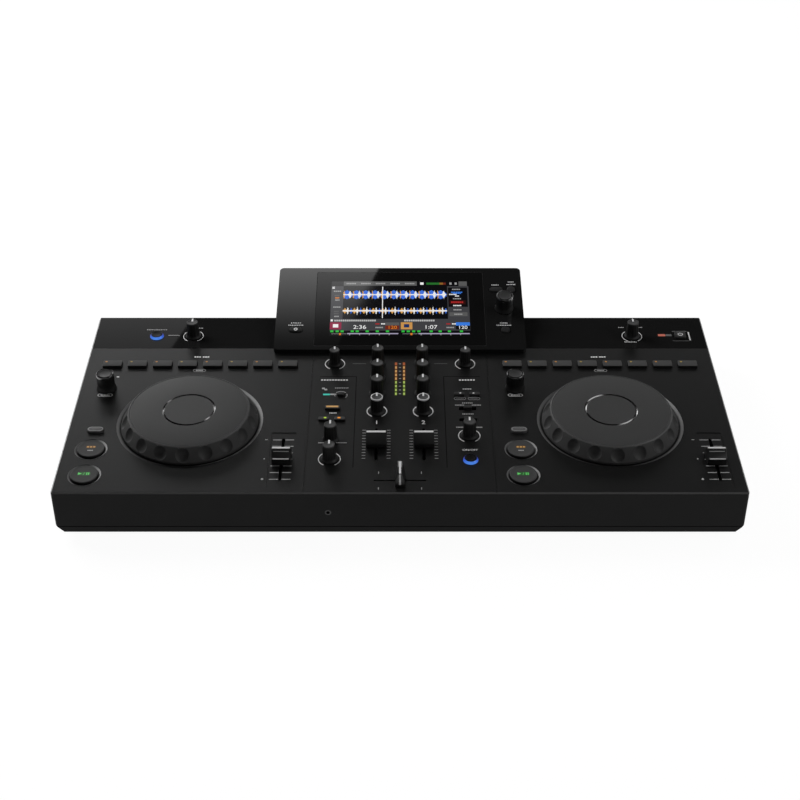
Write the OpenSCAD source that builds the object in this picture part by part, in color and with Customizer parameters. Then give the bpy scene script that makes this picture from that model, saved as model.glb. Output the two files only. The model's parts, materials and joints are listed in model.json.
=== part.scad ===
// All-in-one DJ console: two decks, a two-channel mixer and a raised touch screen.
// The origin is on the floor under the middle of the whole outline, with +X to the
// right, +Y to the back and +Z up. All sizes are in millimetres.
// "From the front" is measured back from the front edge of the case.

/* [Case] */
// Width of the case
case_w = 665; // [655:1:700]
// Depth of the case, without the overhang of the screen
case_d = 306; // [300:1:330]
// Height of the case, without the feet
case_h = 48.5; // [46:0.5:60]
// Thickness of the case walls and floor
wall = 2.5; // [2:0.1:3.5]
// Thickness of the top panel
plate_t = 4; // [3.5:0.1:5]
// Chamfer along the bottom edge of the case's two ends
bottom_chamfer = 8; // [5:0.5:10]
// Height of the seam along the front of the case above its underside
seam_up = 6.4; // [5:0.2:8]
// Width of that seam
seam_w = 0.8; // [0.5:0.1:1]
// Depth of that seam
seam_depth = 0.6; // [0.3:0.1:1]
// Chamfer along the upper edge of the top panel
lip_chamfer = 1.4; // [0.6:0.1:1.8]
// Radius of the case's corners, seen from above
corner_r = 3; // [2:0.5:8]
// Height of the feet
foot_h = 7.5; // [4:0.5:10]
// Diameter of the feet
foot_d = 24; // [16:1:28]
// Distance of the feet from the edges of the case
foot_inset = 42; // [30:1:60]
// Half the distance between the two grooves that part the mixer from the decks
groove_x = 92; // [90:0.5:96]
// Width of those grooves
groove_w = 0.8; // [0.5:0.1:1.2]
// Depth of those grooves
groove_depth = 0.5; // [0.3:0.1:0.8]

/* [Fasteners] */
// Diameter of the case screws
screw_d = 3; // [2.5:0.1:3.5]
// Diameter of the screw heads
screw_head_d = 5.6; // [5:0.1:6]
// Height of the screw heads
screw_head_h = 2; // [1.5:0.1:3]
// Outer diameter of the posts around the screws
post_d = 9; // [8:0.5:10]
// Length of screw that sits in the top panel's posts
screw_bite = 9; // [6:0.5:12]
// Distance of the outer screws from the sides and the rear of the case
screw_inset = 20.5; // [18:0.5:24]
// Distance of the front screws from the ends of the case
front_screw_in = 77.5; // [70:0.5:90]
// Distance of the rear middle screws from the screen unit's sides
rear_screw_gap = 14.5; // [12:0.5:20]
// Distance of the inner screws from the mixer's grooves
inner_screw_gap = 12; // [9:0.5:13]
// Place of the side screws, as a share of the depth in front of the strip
side_screw_share = 0.5451; // [0.51:0.0001:0.57]
// Place of the middle screw, as a share of the depth in front of the strip
middle_screw_share = 0.4385; // [0.42:0.0001:0.44]

/* [Circuit board] */
// Distance from the underside of the top panel to the board
board_drop = 14; // [13:0.5:16]
// Thickness of the board
board_t = 1.6; // [1:0.2:2.4]
// Gap between the board and the case walls
board_gap = 2; // [1:0.5:4]

/* [Decks] */
// Shift of each deck's middle from the middle of its half, towards the mixer
deck_shift = 0.6; // [0:0.1:1]
// Room left at the two sides of a deck's controls, together
deck_margin = 23.1; // [20:0.1:26]
// Jog wheel middle, as a share of the depth in front of the strip
jog_share = 0.4631; // [0.43:0.0001:0.49]
// Depth of that dish
dish_depth = 2; // [1:0.1:2.4]
// Gap between the dish and the key column
column_gap = 3; // [1:0.5:5]
// Gap between the dish and the tempo slider's field
tempo_gap = 10.1; // [6:0.1:11]
// Middle of the pad row, as a share of the depth in front of the strip
pad_share = 0.8709; // [0.84:0.0001:0.9]
// Number of pads in a row
pad_count = 8; // [4:1:8]
// Distance of the end pads from the sides of their deck
pad_margin = 17.325; // [15:0.005:20]
// Width of a pad
pad_w = 20; // [16:0.5:21]
// Depth of a pad
pad_d = 10.3; // [8:0.1:12]
// Corner radius of a pad
pad_r = 1.2; // [0.6:0.1:3]
// Height of the pads above the panel
pad_h = 3; // [2:0.1:4]
// Middle of the deck encoder, as a share of the depth in front of the strip
deck_encoder_share = 0.6967; // [0.66:0.0001:0.72]
// Middle of the shift key, as a share of the depth in front of the strip
shift_share = 0.3995; // [0.36:0.0001:0.42]
// Middle of the cue key, as a share of the depth in front of the strip
cue_share = 0.277; // [0.25:0.0001:0.3]
// Middle of the play key, as a share of the depth in front of the strip
play_share = 0.1119; // [0.09:0.0001:0.13]
// Diameter of the play and cue keys
transport_d = 26.6; // [24:0.1:28]
// Height of the play and cue keys above the panel
transport_h = 1.6; // [1.2:0.1:3]
// Diameter of the recess around the play and cue keys
transport_ring_d = 32.3; // [31:0.1:34]
// Depth of that recess
transport_ring_depth = 1.5; // [0.5:0.1:2]
// Width of the shift key
shift_w = 16.5; // [14:0.5:18]
// Depth of the shift key
shift_d = 8; // [6:0.5:10]

/* [Jog wheel] */
// Height of the jog wheel's top above the panel
jog_h = 15; // [12:0.5:20]
// Distance that the jog wheel's flank leans in
flank_run = 7.5; // [5:0.1:9]
// Gap between the jog wheel's foot and the wall of its dish
jog_side_gap = 1; // [0.8:0.1:2]
// Height of the straight band at the bottom of the wheel
jog_band = 2.4; // [1:0.1:4]
// Rounding of the rim, as a chamfer
jog_rim_edge = 1; // [0.5:0.1:2]
// Thickness of the jog wheel's flank
jog_wall = 6.5; // [5:0.5:8]
// Thickness of the jog wheel's top
jog_top_t = 3; // [2:0.5:4]
// Number of finger dimples round the flank
dimple_count = 18; // [12:1:20]
// Diameter of a finger dimple
dimple_d = 14.4; // [12:0.2:15]
// Depth of a finger dimple
dimple_depth = 3.4; // [2:0.1:4]
// Diameter of the ring groove on the jog wheel's top
jog_groove_d = 51; // [40:1:80]
// Width of that groove
jog_groove_w = 2; // [1.2:0.1:3]
// Depth of that groove
jog_groove_depth = 0.6; // [0.3:0.1:1]
// Distance of the fine seam on the wheel's top from its rim
jog_seam_in = 2.4; // [1.6:0.1:4]
// Width of that seam
jog_seam_w = 0.5; // [0.3:0.1:0.8]
// Depth of that seam
jog_seam_depth = 0.4; // [0.2:0.1:0.6]
// Diameter of the fixed spindle that the wheel turns on
spindle_d = 12; // [8:0.5:16]
// Diameter of the wheel's hub
hub_d = 24; // [20:0.5:30]
// Thickness of the spindle's flange
flange_t = 2; // [1.5:0.1:3]

/* [Tempo slider] */
// Travel of the tempo slider, end to end, as a share of the depth in front of the strip
tempo_travel_share = 0.246; // [0.22:0.0001:0.28]
// Middle of the tempo slider, as a share of the depth in front of the strip
tempo_share = 0.2143; // [0.17:0.0001:0.23]
// Width of the tempo slider's field
tempo_field_w = 25; // [23:0.5:27]
// Room between the tempo slider's cap and the end of its field
tempo_end = 2.35; // [1:0.05:4]
// Depth of the tempo slider's field
tempo_field_depth = 0.5; // [0.3:0.1:1]
// Width of the tempo slider's cap
tempo_cap_w = 18.5; // [16:0.5:21]
// Length of the tempo slider's cap
tempo_cap_l = 20; // [16:0.5:22]
// Height of the tempo slider's ridge
tempo_cap_h = 13.8; // [11:0.2:16]
// Height of the tempo slider's end lips
tempo_lip_h = 7.4; // [5:0.2:9]

/* [Mixer] */
// Distance of the channel columns from the middle
channel_x = 23.5; // [22.5:0.5:25]
// Distance of the outer mixer columns from the middle
side_x = 69; // [67:0.5:71]
// Middle of the trim knobs, as a share of the depth in front of the strip
trim_share = 0.8811; // [0.85:0.0001:0.91]
// Middle of the upper tone knobs, as a share of the depth in front of the strip
tone_share = 0.8877; // [0.86:0.0001:0.92]
// Distance between neighbouring tone knobs, as a share of the depth in front of the strip
tone_pitch_share = 0.1131; // [0.08:0.0001:0.14]
// Middle of the filter knobs, as a share of the depth in front of the strip
filter_share = 0.5352; // [0.5:0.0001:0.56]
// Middle of the channel faders, as a share of the depth in front of the strip
channel_fader_share = 0.311; // [0.27:0.0001:0.33]
// Middle of the crossfader, as a share of the depth in front of the strip
crossfader_share = 0.0778; // [0.04:0.0001:0.1]
// Travel of the channel faders and the crossfader, end to end
fader_travel = 45; // [42:1:46]
// Width of a fader cap, across its travel
fader_cap_w = 20; // [16:0.5:21]
// Length of a channel fader's cap, along its travel
fader_cap_l = 13; // [9:0.5:15]
// Length of the crossfader's cap, along its travel
cross_cap_l = 9.5; // [8:0.5:12]
// Height of a fader cap
fader_cap_h = 16; // [12:0.5:18]
// Width of a fader cap's ridge
fader_ridge = 4; // [3:0.2:6]
// Height of a fader cap's end lips
fader_lip_h = 5; // [4:0.2:8]
// Middle of the link and beat keys, as a share of the depth in front of the strip
upper_key_share = 0.6496; // [0.62:0.0001:0.68]
// Gap between the switch housings of two small keys side by side
key_pair_gap = 0.6; // [0.4:0.1:2]
// Middle of the master cue key and the effect selector, as a share of the depth in front of the strip
middle_key_share = 0.5533; // [0.52:0.0001:0.58]
// Middle of the phones cue keys and the effect channel switch, as a share of the depth in front of the strip
lower_key_share = 0.4754; // [0.44:0.0001:0.5]
// Width of a small key
small_key_w = 10.6; // [9:0.2:11]
// Depth of a small key
small_key_d = 5; // [4:0.2:7]
// Corner radius of a small key
small_key_r = 1; // [0.5:0.1:2]
// Width of the link key
link_key_w = 8; // [7:0.2:10]
// Width of the master cue key
master_cue_w = 15; // [12:0.5:18]
// Middle of the phones mix knob, as a share of the depth in front of the strip
phones_mix_share = 0.3455; // [0.31:0.0001:0.37]
// Middle of the phones level knob, as a share of the depth in front of the strip
phones_level_share = 0.2131; // [0.17:0.0001:0.23]
// Middle of the effect level knob, as a share of the depth in front of the strip
effect_level_share = 0.3672; // [0.33:0.0001:0.39]
// Middle of the effect key, as a share of the depth in front of the strip
effect_key_share = 0.2082; // [0.17:0.0001:0.23]
// Diameter of the lit round keys
lit_key_d = 11; // [9:0.5:12]
// Diameter of the light ring around those keys
light_ring_d = 15.2; // [14.6:0.1:18]
// Depth of the seat of the light ring and of the power key's frame
light_ring_depth = 0.6; // [0.4:0.1:0.8]
// Length of a slide switch's slot
switch_slot_l = 18; // [16:0.5:20]
// Width of a slide switch's slot
switch_slot_w = 5; // [4.5:0.1:7]
// Length of a slide switch's knob
switch_knob_l = 8; // [6:0.5:10]
// Height of a slide switch's knob
switch_knob_h = 3; // [2:0.2:5]

/* [Slider bodies] */
// Width of a slider's stem
stem_w = 2.4; // [2:0.1:3]
// Length of a slider's stem
stem_l = 5; // [4:0.5:6]
// Length of stem inside its body
stem_bite = 5; // [4:0.5:8]
// Width of the bodies below the sliders
fader_body_w = 11; // [9:0.5:12]
// Length of those bodies beyond the stem's travel
fader_body_end = 7; // [5:0.5:8]
// Corner radius of the slots
slot_r = 0.8; // [0.5:0.1:1]
/* [Knobs] */
// Diameter of a tone knob's top
tone_top_d = 12.3; // [11:0.1:13]
// Diameter of a tone knob's skirt
tone_skirt_d = 17; // [15.5:0.1:18]
// Height of a tone knob
tone_h = 20; // [16:0.5:22]
// Diameter of a small knob's top
trim_top_d = 10.2; // [9:0.1:11]
// Diameter of a small knob's skirt
trim_skirt_d = 14.5; // [13:0.1:16]
// Height of a small knob
trim_h = 18.5; // [15:0.5:20]
// Height of a knob's skirt
skirt_h = 3.2; // [2.5:0.1:4]
// Thickness of a knob skirt's edge
skirt_edge = 1; // [0.6:0.1:1.4]
// Widening of a knob's body from its top to its skirt
knob_taper = 0.8; // [0.4:0.1:1.2]
// Rounding of a knob's top, as a chamfer
knob_edge = 0.6; // [0.3:0.1:1]
// Width of a knob's pointer groove
pointer_w = 1.1; // [0.8:0.1:1.5]
// Depth of a knob's pointer groove
pointer_depth = 0.4; // [0.2:0.1:0.6]
// Diameter of an encoder's foot
encoder_d = 20.5; // [18:0.5:21]
// Diameter of an encoder's top
encoder_top_d = 18; // [16:0.5:19]
// Height of an encoder
encoder_h = 19.5; // [14:0.5:22]
// Depth of the dish in an encoder's top
encoder_dish = 0.8; // [0.4:0.1:1.5]
// Width of the rim around that dish
encoder_rim = 1.4; // [1:0.1:2.5]
// Diameter of the knob shafts
shaft_d = 6; // [5:0.5:6.5]
// Length of shaft inside its body
shaft_bite = 8; // [5:0.5:9]
// Width of the bodies below the knobs
pot_w = 11; // [10:0.5:12]

/* [Keys] */
// Height of a key above the panel
key_h = 2.5; // [1.8:0.1:4]
// Travel of a key
key_travel = 0.8; // [0.5:0.1:1.2]
// Width of a key's retaining flange
key_flange = 1; // [0.7:0.1:1.2]
// Thickness of a key's retaining flange
key_flange_t = 1.2; // [0.8:0.1:1.5]
// Wall of the switch housings below the keys
switch_wall = 1; // [0.8:0.1:1.2]

/* [Rear strip] */
// Depth of the glossy strip along the rear
strip_d = 62; // [58:0.2:66]
// Thickness of the glossy strip
strip_t = 1.2; // [0.8:0.1:1.5]
// Width of the rim that the panel leaves round the strip
strip_rim = 1.5; // [1:0.1:3]
// Middle of the strip's controls, from the rear of the case
strip_control_v = 38; // [34:0.5:44]
// Distance of the microphone key from the end of the case
mic_key_in = 67.9; // [60:0.1:72]
// Distance of the microphone knob from the end of the case
mic_knob_in = 107.5; // [102:0.5:112]
// Distance of the master knob from the end of the case
master_knob_in = 80.0; // [74:0.5:88]
// Distance of the power key from the end of the case
power_key_in = 27.5; // [24:0.5:34]
// Width of the power key
power_key_w = 12; // [9:0.2:12.6]
// Width of the sunk frame around the power key
power_frame_w = 14; // [13.6:0.2:16]
// Corner radius of the power key
power_key_r = 1.2; // [0.6:0.1:2]

/* [Screen] */
// Width of the screen unit
screen_w = 271; // [268:0.5:276]
// Length of the screen's face up its slope
screen_l = 134.7; // [132:0.1:140]
// Tilt of the screen's face
screen_tilt = 9; // [7:0.5:12]
// Distance of the screen's front edge from the rear of the case
screen_back = 71.4; // [70:0.2:74]
// Height of the screen's front edge above the panel
screen_front_h = 5; // [4.8:0.1:8]
// Height of the screen unit's rear edge
screen_rear_h = 12; // [9:0.5:16]
// Corner radius of the screen unit
screen_r = 5; // [3:0.5:8]
// Thickness of the screen's front bezel
bezel_t = 2; // [1.6:0.1:2.4]
// Width of the bezel beside the touch glass
screen_side = 42.5; // [40:0.5:46]
// Width of the bezel behind the touch glass
screen_head = 8.4; // [7:0.1:10]
// Corner radius of the touch glass
glass_r = 2; // [1:0.5:4]
// Distance of the touch glass from the front edge
glass_s = 6.9; // [6:0.1:8]
// Overlap of the glass carrier behind the bezel
carrier_lap = 2.8; // [1.5:0.1:3]
// Thickness of the glass carrier
carrier_t = 1.2; // [0.8:0.1:1.5]
// Distance of the display module's sides from the sides of the glass
module_side = 12; // [8:0.5:16]
// Distance of the display module's ends from the ends of the glass
module_end = 10.7; // [8:0.1:14]
// Thickness of the display module
module_t = 2.8; // [2:0.1:3]
// Place of the settings and deck keys, as a share of the screen's length
settings_key_up = 0.2272; // [0.2:0.0001:0.26]
// Distance of the settings key from the glass, as a share of the bezel's side
settings_key_out = 0.4706; // [0.42:0.0001:0.52]
// Distance of the browse encoder and the deck key from the glass, as a share of the bezel's side
browse_out = 0.5035; // [0.49:0.0001:0.52]
// Place of the browse encoder, as a share of the screen's length
browse_up = 0.49; // [0.46:0.0001:0.52]
// Place of the back and tag keys, as a share of the screen's length
back_key_up = 0.7186; // [0.7:0.0001:0.76]
// Distance of the back key from the glass, as a share of the bezel's side
back_key_out = 0.3294; // [0.32:0.0001:0.34]
// Distance of the tag key from the glass, as a share of the bezel's side
tag_key_out = 0.72; // [0.71:0.0001:0.73]
// Width of the pill keys on the screen unit, as a share of the bezel's side
pill_share = 0.3388; // [0.3:0.0001:0.35]
// Depth of the pill keys on the screen unit
screen_pill_d = 7; // [5:0.2:9]
// Diameter of the round keys on the screen unit, as a share of the bezel's side
round_share = 0.2165; // [0.18:0.0001:0.22]
// Height of the keys on the screen unit
screen_key_h = 1.4; // [0.8:0.1:2.5]
// Depth of the switch housings on the screen unit
screen_switch_h = 5; // [4.4:0.1:5.6]
// Depth of the browse encoder's body
browse_body_h = 9; // [8:0.5:9.5]

/* [Sockets] */
// Height of the socket bodies below the board
socket_h = 9.4; // [9:0.1:11]
// Width of the phones socket's body
phones_body_w = 9; // [8:0.5:12]
// Length of the phones socket's body
phones_body_l = 16; // [15:0.5:24]
// Diameter of the phones socket's bore
phones_bore_d = 3.6; // [3.5:0.05:3.8]
// Outer diameter of the phones socket's collar
phones_collar_d = 6; // [5.4:0.1:8]
// Depth of the phones socket's bore
phones_bore_l = 14; // [12:0.5:14]
// Distance of the microphone socket from the end of the case
mic_socket_in = 67.5; // [58:0.5:78]
// Diameter of the microphone socket's bore
mic_bore_d = 6.5; // [6.4:0.05:6.8]
// Diameter of the microphone socket's barrel
mic_barrel_d = 8.2; // [8:0.1:9]
// Outer diameter of the microphone socket's collar
mic_collar_d = 12; // [10:0.5:14]
// Width of the microphone socket's body
mic_body_w = 16; // [15:0.5:20]
// Depth of the microphone socket's bore
mic_bore_l = 28; // [24:0.5:30]
// Distance that the microphone and power collars stand out at the rear
collar_out = 2; // [1:0.1:4]
// Distance of the output sockets' middle from the end of the case
output_in = 142.5; // [130:0.5:152]
// Distance between the two output sockets
output_pitch = 20; // [18:0.5:24]
// Diameter of an output socket's barrel
output_barrel_d = 8.3; // [8.2:0.05:8.4]
// Diameter of an output socket's insulating ring
output_ring_d = 12; // [11:0.2:14]
// Diameter of an output socket's centre hole
output_hole_d = 3.2; // [3:0.1:3.4]
// Distance that an output socket stands out at the rear
output_out = 9; // [8:0.5:10]
// Thickness of that insulating ring
output_ring_t = 1; // [0.8:0.1:1.5]
// Width of an output socket's body
output_body_w = 14; // [13:0.5:16]
// Length of an output socket's body
output_body_l = 14; // [13:0.5:20]
// Distance of the memory stick sockets' middle from the end of the case
stick_in = 132.5; // [122:0.5:148]
// Distance between the two memory stick sockets
stick_pitch = 26; // [22:0.5:30]
// Width of a memory stick socket's opening
stick_w = 12.6; // [12.4:0.1:13]
// Height of a memory stick socket's opening
stick_h = 5.2; // [5:0.1:5.6]
// Depth of a memory stick socket's opening
stick_l = 15; // [12:0.5:18]
// Thickness of a memory stick socket's shell
stick_shell = 1; // [0.8:0.1:1.5]
// Distance of the power inlet from the end of the case
inlet_in = 62.5; // [54:0.5:70]
// Diameter of the power inlet's bore
inlet_bore_d = 6.4; // [6.2:0.1:6.6]
// Diameter of the power inlet's pin
inlet_pin_d = 2.1; // [2:0.1:2.5]
// Outer diameter of the power inlet's collar
inlet_collar_d = 9.4; // [9:0.1:11]
// Depth of the power inlet's bore
inlet_bore_l = 10; // [9:0.5:12]
// Width of the power inlet's body
inlet_body_w = 12; // [11:0.5:14]

/* [Clearances] */
// Gap between a fixed hole and a piece that slides or turns in it
run_gap = 0.4; // [0.3:0.05:0.5]
// Radial gap between a shaft and its bearing
shaft_gap = 0.1; // [0.08:0.01:0.15]
// Gap between flat faces that move past each other
face_gap = 0.3; // [0.25:0.05:0.5]
// Gap between fixed pieces that fit into each other
fit_gap = 0.1; // [0.05:0.01:0.2]
// Gap between the jog wheel and the floor of its dish
jog_lift = 0.6; // [0.4:0.1:0.8]

/* [Hidden] */
$fn = 64;
cut = 1;
least_r = 0.5;

plate_z = foot_h + case_h;
under_z = -plate_t;
board_z = under_z - board_drop;
board_under_z = board_z - board_t;
case_top_z = plate_z - plate_t;
strip_v = case_d - strip_d;
jog_v = jog_share * strip_v;
pad_v = pad_share * strip_v;
deck_encoder_v = deck_encoder_share * strip_v;
shift_v = shift_share * strip_v;
cue_v = cue_share * strip_v;
play_v = play_share * strip_v;
tempo_v = tempo_share * strip_v;
trim_v = trim_share * strip_v;
tone_v = tone_share * strip_v;
tone_pitch = tone_pitch_share * strip_v;
filter_v = filter_share * strip_v;
channel_fader_v = channel_fader_share * strip_v;
crossfader_v = crossfader_share * strip_v;
upper_key_v = upper_key_share * strip_v;
middle_key_v = middle_key_share * strip_v;
lower_key_v = lower_key_share * strip_v;
phones_mix_v = phones_mix_share * strip_v;
phones_level_v = phones_level_share * strip_v;
effect_level_v = effect_level_share * strip_v;
effect_key_v = effect_key_share * strip_v;
tempo_travel = tempo_travel_share * strip_v;
tempo_field_l = tempo_travel + tempo_cap_l + 2 * tempo_end;
side_screw_v = side_screw_share * strip_v;
middle_screw_v = middle_screw_share * strip_v;

end_x = case_w / 2;
deck_w = end_x - groove_x;
deck_x = groove_x + deck_w / 2 - deck_shift;
dish_d = deck_w - deck_margin - transport_ring_d - column_gap - tempo_gap - tempo_field_w;
pad_pitch = (deck_w - 2 * pad_margin - pad_w) / (pad_count - 1);
pad_span = (pad_count - 1) * pad_pitch;
mic_key_x = end_x - mic_key_in;
mic_knob_x = end_x - mic_knob_in;
master_knob_x = end_x - master_knob_in;
power_key_x = end_x - power_key_in;
mic_socket_x = end_x - mic_socket_in;
output_x = end_x - output_in;
stick_x = end_x - stick_in;
inlet_x = end_x - inlet_in;

glass_w = screen_w - 2 * screen_side;
glass_l = screen_l - glass_s - screen_head;
module_w = glass_w - 2 * module_side;
module_l = glass_l - 2 * module_end;
screen_pill_w = pill_share * screen_side;
screen_round_d = round_share * screen_side;
settings_key_s = settings_key_up * screen_l;
browse_s = browse_up * screen_l;
back_key_s = back_key_up * screen_l;

screen_v = case_d - screen_back;
total_d = screen_v + screen_l * cos(screen_tilt) + bezel_t * sin(screen_tilt);
front_y = -total_d / 2;
socket_drop = board_under_z - socket_h / 2;

pocket_h = face_gap + key_flange_t + key_travel + face_gap;
switch_rim = key_flange + run_gap + switch_wall;
key_pair_x = (small_key_w + key_pair_gap) / 2 + switch_rim;
column_dx = -(dish_d / 2 + column_gap + transport_ring_d / 2);
tempo_dx = dish_d / 2 + tempo_gap + tempo_field_w / 2;
control_v = case_d - strip_control_v;

jog_base_d = dish_d - 4 * dish_depth - 2 * jog_side_gap;
jog_rim_d = jog_base_d - 2 * flank_run;
jog_z = -dish_depth + jog_lift;
jog_hub_z = -dish_depth + flange_t + face_gap;
flank_rise = jog_h - jog_rim_edge - jog_z - jog_band;
flank_angle = atan2(flank_run, flank_rise);
dimple_r = (dimple_d * dimple_d / 4 + dimple_depth * dimple_depth) / (2 * dimple_depth);
dimple_out = dimple_r - dimple_depth;

decks = [["left", -deck_x], ["right", deck_x]];

// Knobs on the main panel: name, place across, place from the front, size
tone_size = [tone_top_d, tone_skirt_d, tone_h];
trim_size = [trim_top_d, trim_skirt_d, trim_h];
mid_size = [tone_top_d, tone_skirt_d, trim_h];
knobs = [
    ["trim_knob_1", -side_x, trim_v, trim_size],
    ["trim_knob_2", side_x, trim_v, trim_size],
    ["high_knob_1", -channel_x, tone_v, tone_size],
    ["high_knob_2", channel_x, tone_v, tone_size],
    ["mid_knob_1", -channel_x, tone_v - tone_pitch, tone_size],
    ["mid_knob_2", channel_x, tone_v - tone_pitch, tone_size],
    ["low_knob_1", -channel_x, tone_v - 2 * tone_pitch, tone_size],
    ["low_knob_2", channel_x, tone_v - 2 * tone_pitch, tone_size],
    ["filter_knob_1", -channel_x, filter_v, mid_size],
    ["filter_knob_2", channel_x, filter_v, mid_size],
    ["phones_mix_knob", -side_x, phones_mix_v, mid_size],
    ["phones_level_knob", -side_x, phones_level_v, mid_size],
    ["effect_level_knob", side_x, effect_level_v, mid_size],
    ["mic_level_knob", -mic_knob_x, control_v, mid_size],
    ["master_level_knob", master_knob_x, control_v, mid_size]
];

// Encoders on the main panel: name, place across, place from the front
encoders = [
    for (deck = decks) [str("deck_encoder_", deck[0]), deck[1] + column_dx, deck_encoder_v]
];

// Keys on the main panel: name, place across, place from the front, width, depth, corner radius, height
keys = concat(
    [for (deck = decks) [str("play_key_", deck[0]), deck[1] + column_dx, play_v,
        transport_d, transport_d, transport_d / 2, transport_h]],
    [for (deck = decks) [str("cue_key_", deck[0]), deck[1] + column_dx, cue_v,
        transport_d, transport_d, transport_d / 2, transport_h]],
    [for (deck = decks) [str("shift_key_", deck[0]), deck[1] + column_dx, shift_v,
        shift_w, shift_d, shift_d / 2, key_h]],
    [
        ["link_key", -side_x + key_pair_x, upper_key_v, link_key_w, small_key_d, small_key_d / 2, key_h],
        ["master_cue_key", -side_x, middle_key_v, master_cue_w, small_key_d, small_key_r, key_h],
        ["phones_cue_key_1", -side_x - key_pair_x, lower_key_v, small_key_w, small_key_d,
            small_key_r, key_h],
        ["phones_cue_key_2", -side_x + key_pair_x, lower_key_v, small_key_w, small_key_d,
            small_key_r, key_h],
        ["beat_down_key", side_x - key_pair_x, upper_key_v, small_key_w, small_key_d,
            small_key_r, key_h],
        ["beat_up_key", side_x + key_pair_x, upper_key_v, small_key_w, small_key_d,
            small_key_r, key_h],
        ["effect_key", side_x, effect_key_v, lit_key_d, lit_key_d, lit_key_d / 2, key_h],
        ["mic_key", -mic_key_x, control_v, lit_key_d, lit_key_d, lit_key_d / 2, key_h],
        ["power_key", power_key_x, control_v, power_key_w, power_key_w, power_key_r, key_h]
    ]
);

// Keys on the screen unit: name, place across, place up the slope, width, depth
right_x = glass_w / 2;
browse_x = right_x + browse_out * screen_side;
screen_keys = [
    ["settings_key", -right_x - settings_key_out * screen_side, settings_key_s, screen_pill_w, screen_pill_d],
    ["back_key", right_x + back_key_out * screen_side, back_key_s, screen_pill_w, screen_pill_d],
    ["tag_key", right_x + tag_key_out * screen_side, back_key_s, screen_round_d, screen_round_d],
    ["deck_key", browse_x, settings_key_s, screen_round_d, screen_round_d]
];

// Slide switches: name, place across, place from the front
switches = [
    ["effect_select_switch", side_x, middle_key_v],
    ["effect_channel_switch", side_x, lower_key_v]
];

// Faders: name, place across, place from the front, travel, turn, cap sizes
cap_size = [fader_cap_w, fader_cap_l, fader_cap_h, fader_ridge, fader_lip_h];
cross_size = [fader_cap_w, cross_cap_l, fader_cap_h, fader_ridge, fader_lip_h];
tempo_size = [tempo_cap_w, tempo_cap_l, tempo_cap_h, fader_ridge, tempo_lip_h];
faders = concat(
    [for (deck = decks) [str("tempo_slider_", deck[0]), deck[1] + tempo_dx, tempo_v,
        tempo_travel, 0, tempo_size]],
    [
        ["channel_fader_1", -channel_x, channel_fader_v, fader_travel, 0, cap_size],
        ["channel_fader_2", channel_x, channel_fader_v, fader_travel, 0, cap_size],
        ["crossfader", 0, crossfader_v, fader_travel, 90, cross_size]
    ]
);

// Screw places: place across, place from the front
front_screw_v = bottom_chamfer + post_d;
front_screw_x = end_x - front_screw_in;
rear_screw_x = screen_w / 2 + rear_screw_gap;
inner_screw_x = groove_x + inner_screw_gap;
screw_x = end_x - screw_inset;
screw_v = case_d - screw_inset;
screw_spots = concat(
    [for (side = [-1, 1]) each [
        [side * screw_x, side_screw_v],
        [side * screw_x, screw_v],
        [side * inner_screw_x, side_screw_v],
        [side * front_screw_x, front_screw_v],
        [side * rear_screw_x, screw_v]
    ]],
    [[0, middle_screw_v]]
);

function names(list) = [for (item = list) item[0]];

// Puts its children at a place on the top face of the main panel
module on_panel(x, v) {
    translate([x, front_y + v, plate_z]) children();
}

// Puts its children at a place on the screen's sloping face
module on_screen(x, s) {
    translate([0, front_y + screen_v, plate_z + screen_front_h])
        rotate([screen_tilt, 0, 0])
            translate([x, s, 0]) children();
}

// A flat outline with round corners, or a disc or a pill where the radius is large
module round_rect(w, d, r) {
    narrow = min(w, d);
    if (2 * r < narrow) {
        square([w - 2 * r, d], center = true);
        square([w, d - 2 * r], center = true);
        for (sx = [-1, 1])
            for (sy = [-1, 1])
                translate([sx * (w / 2 - r), sy * (d / 2 - r)]) circle(r);
    } else if (w == d) {
        circle(d / 2);
    } else {
        square([max(w - narrow, narrow == w ? w : 0), max(d - narrow, narrow == d ? d : 0)],
            center = true);
        for (side = [-1, 1])
            translate([side * (w - narrow) / 2, side * (d - narrow) / 2]) circle(narrow / 2);
    }
}

// A round-cornered block between two heights
module slab(w, d, r, low, high) {
    translate([0, 0, low]) linear_extrude(high - low) round_rect(w, d, r);
}

// Section of a block with chamfers along its lower and upper edges
module chamfered(w, low, high, low_cut, high_cut) {
    polygon([[low_cut, low], [w - low_cut, low], [w, low + low_cut], [w, high - high_cut],
        [w - high_cut, high], [high_cut, high], [0, high - high_cut], [0, low + low_cut]]);
}

// The case's outer form between two heights, drawn in by an inset
module case_block(inset, low, high, end_cut, lip_cut) {
    w = case_w - 2 * inset;
    d = case_d - 2 * inset;
    r = max(corner_r - inset, least_r);
    translate([0, front_y, 0]) intersection() {
        translate([0, case_d / 2, 0]) slab(w, d, r, low, high);
        translate([-w / 2, case_d + cut, 0])
            rotate([90, 0, 0]) linear_extrude(case_d + 2 * cut)
                chamfered(w, low, high, end_cut, lip_cut);
        translate([-case_w / 2 - cut, inset, 0])
            rotate([90, 0, 90]) linear_extrude(case_w + 2 * cut)
                chamfered(d, low, high, 0, lip_cut);
    }
}

module at_screws() {
    for (spot = screw_spots) on_panel(spot[0], spot[1]) children();
}

screw_hole_d = screw_d + 2 * fit_gap;
head_seat_z = -case_h + wall + fit_gap + screw_head_h;

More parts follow.
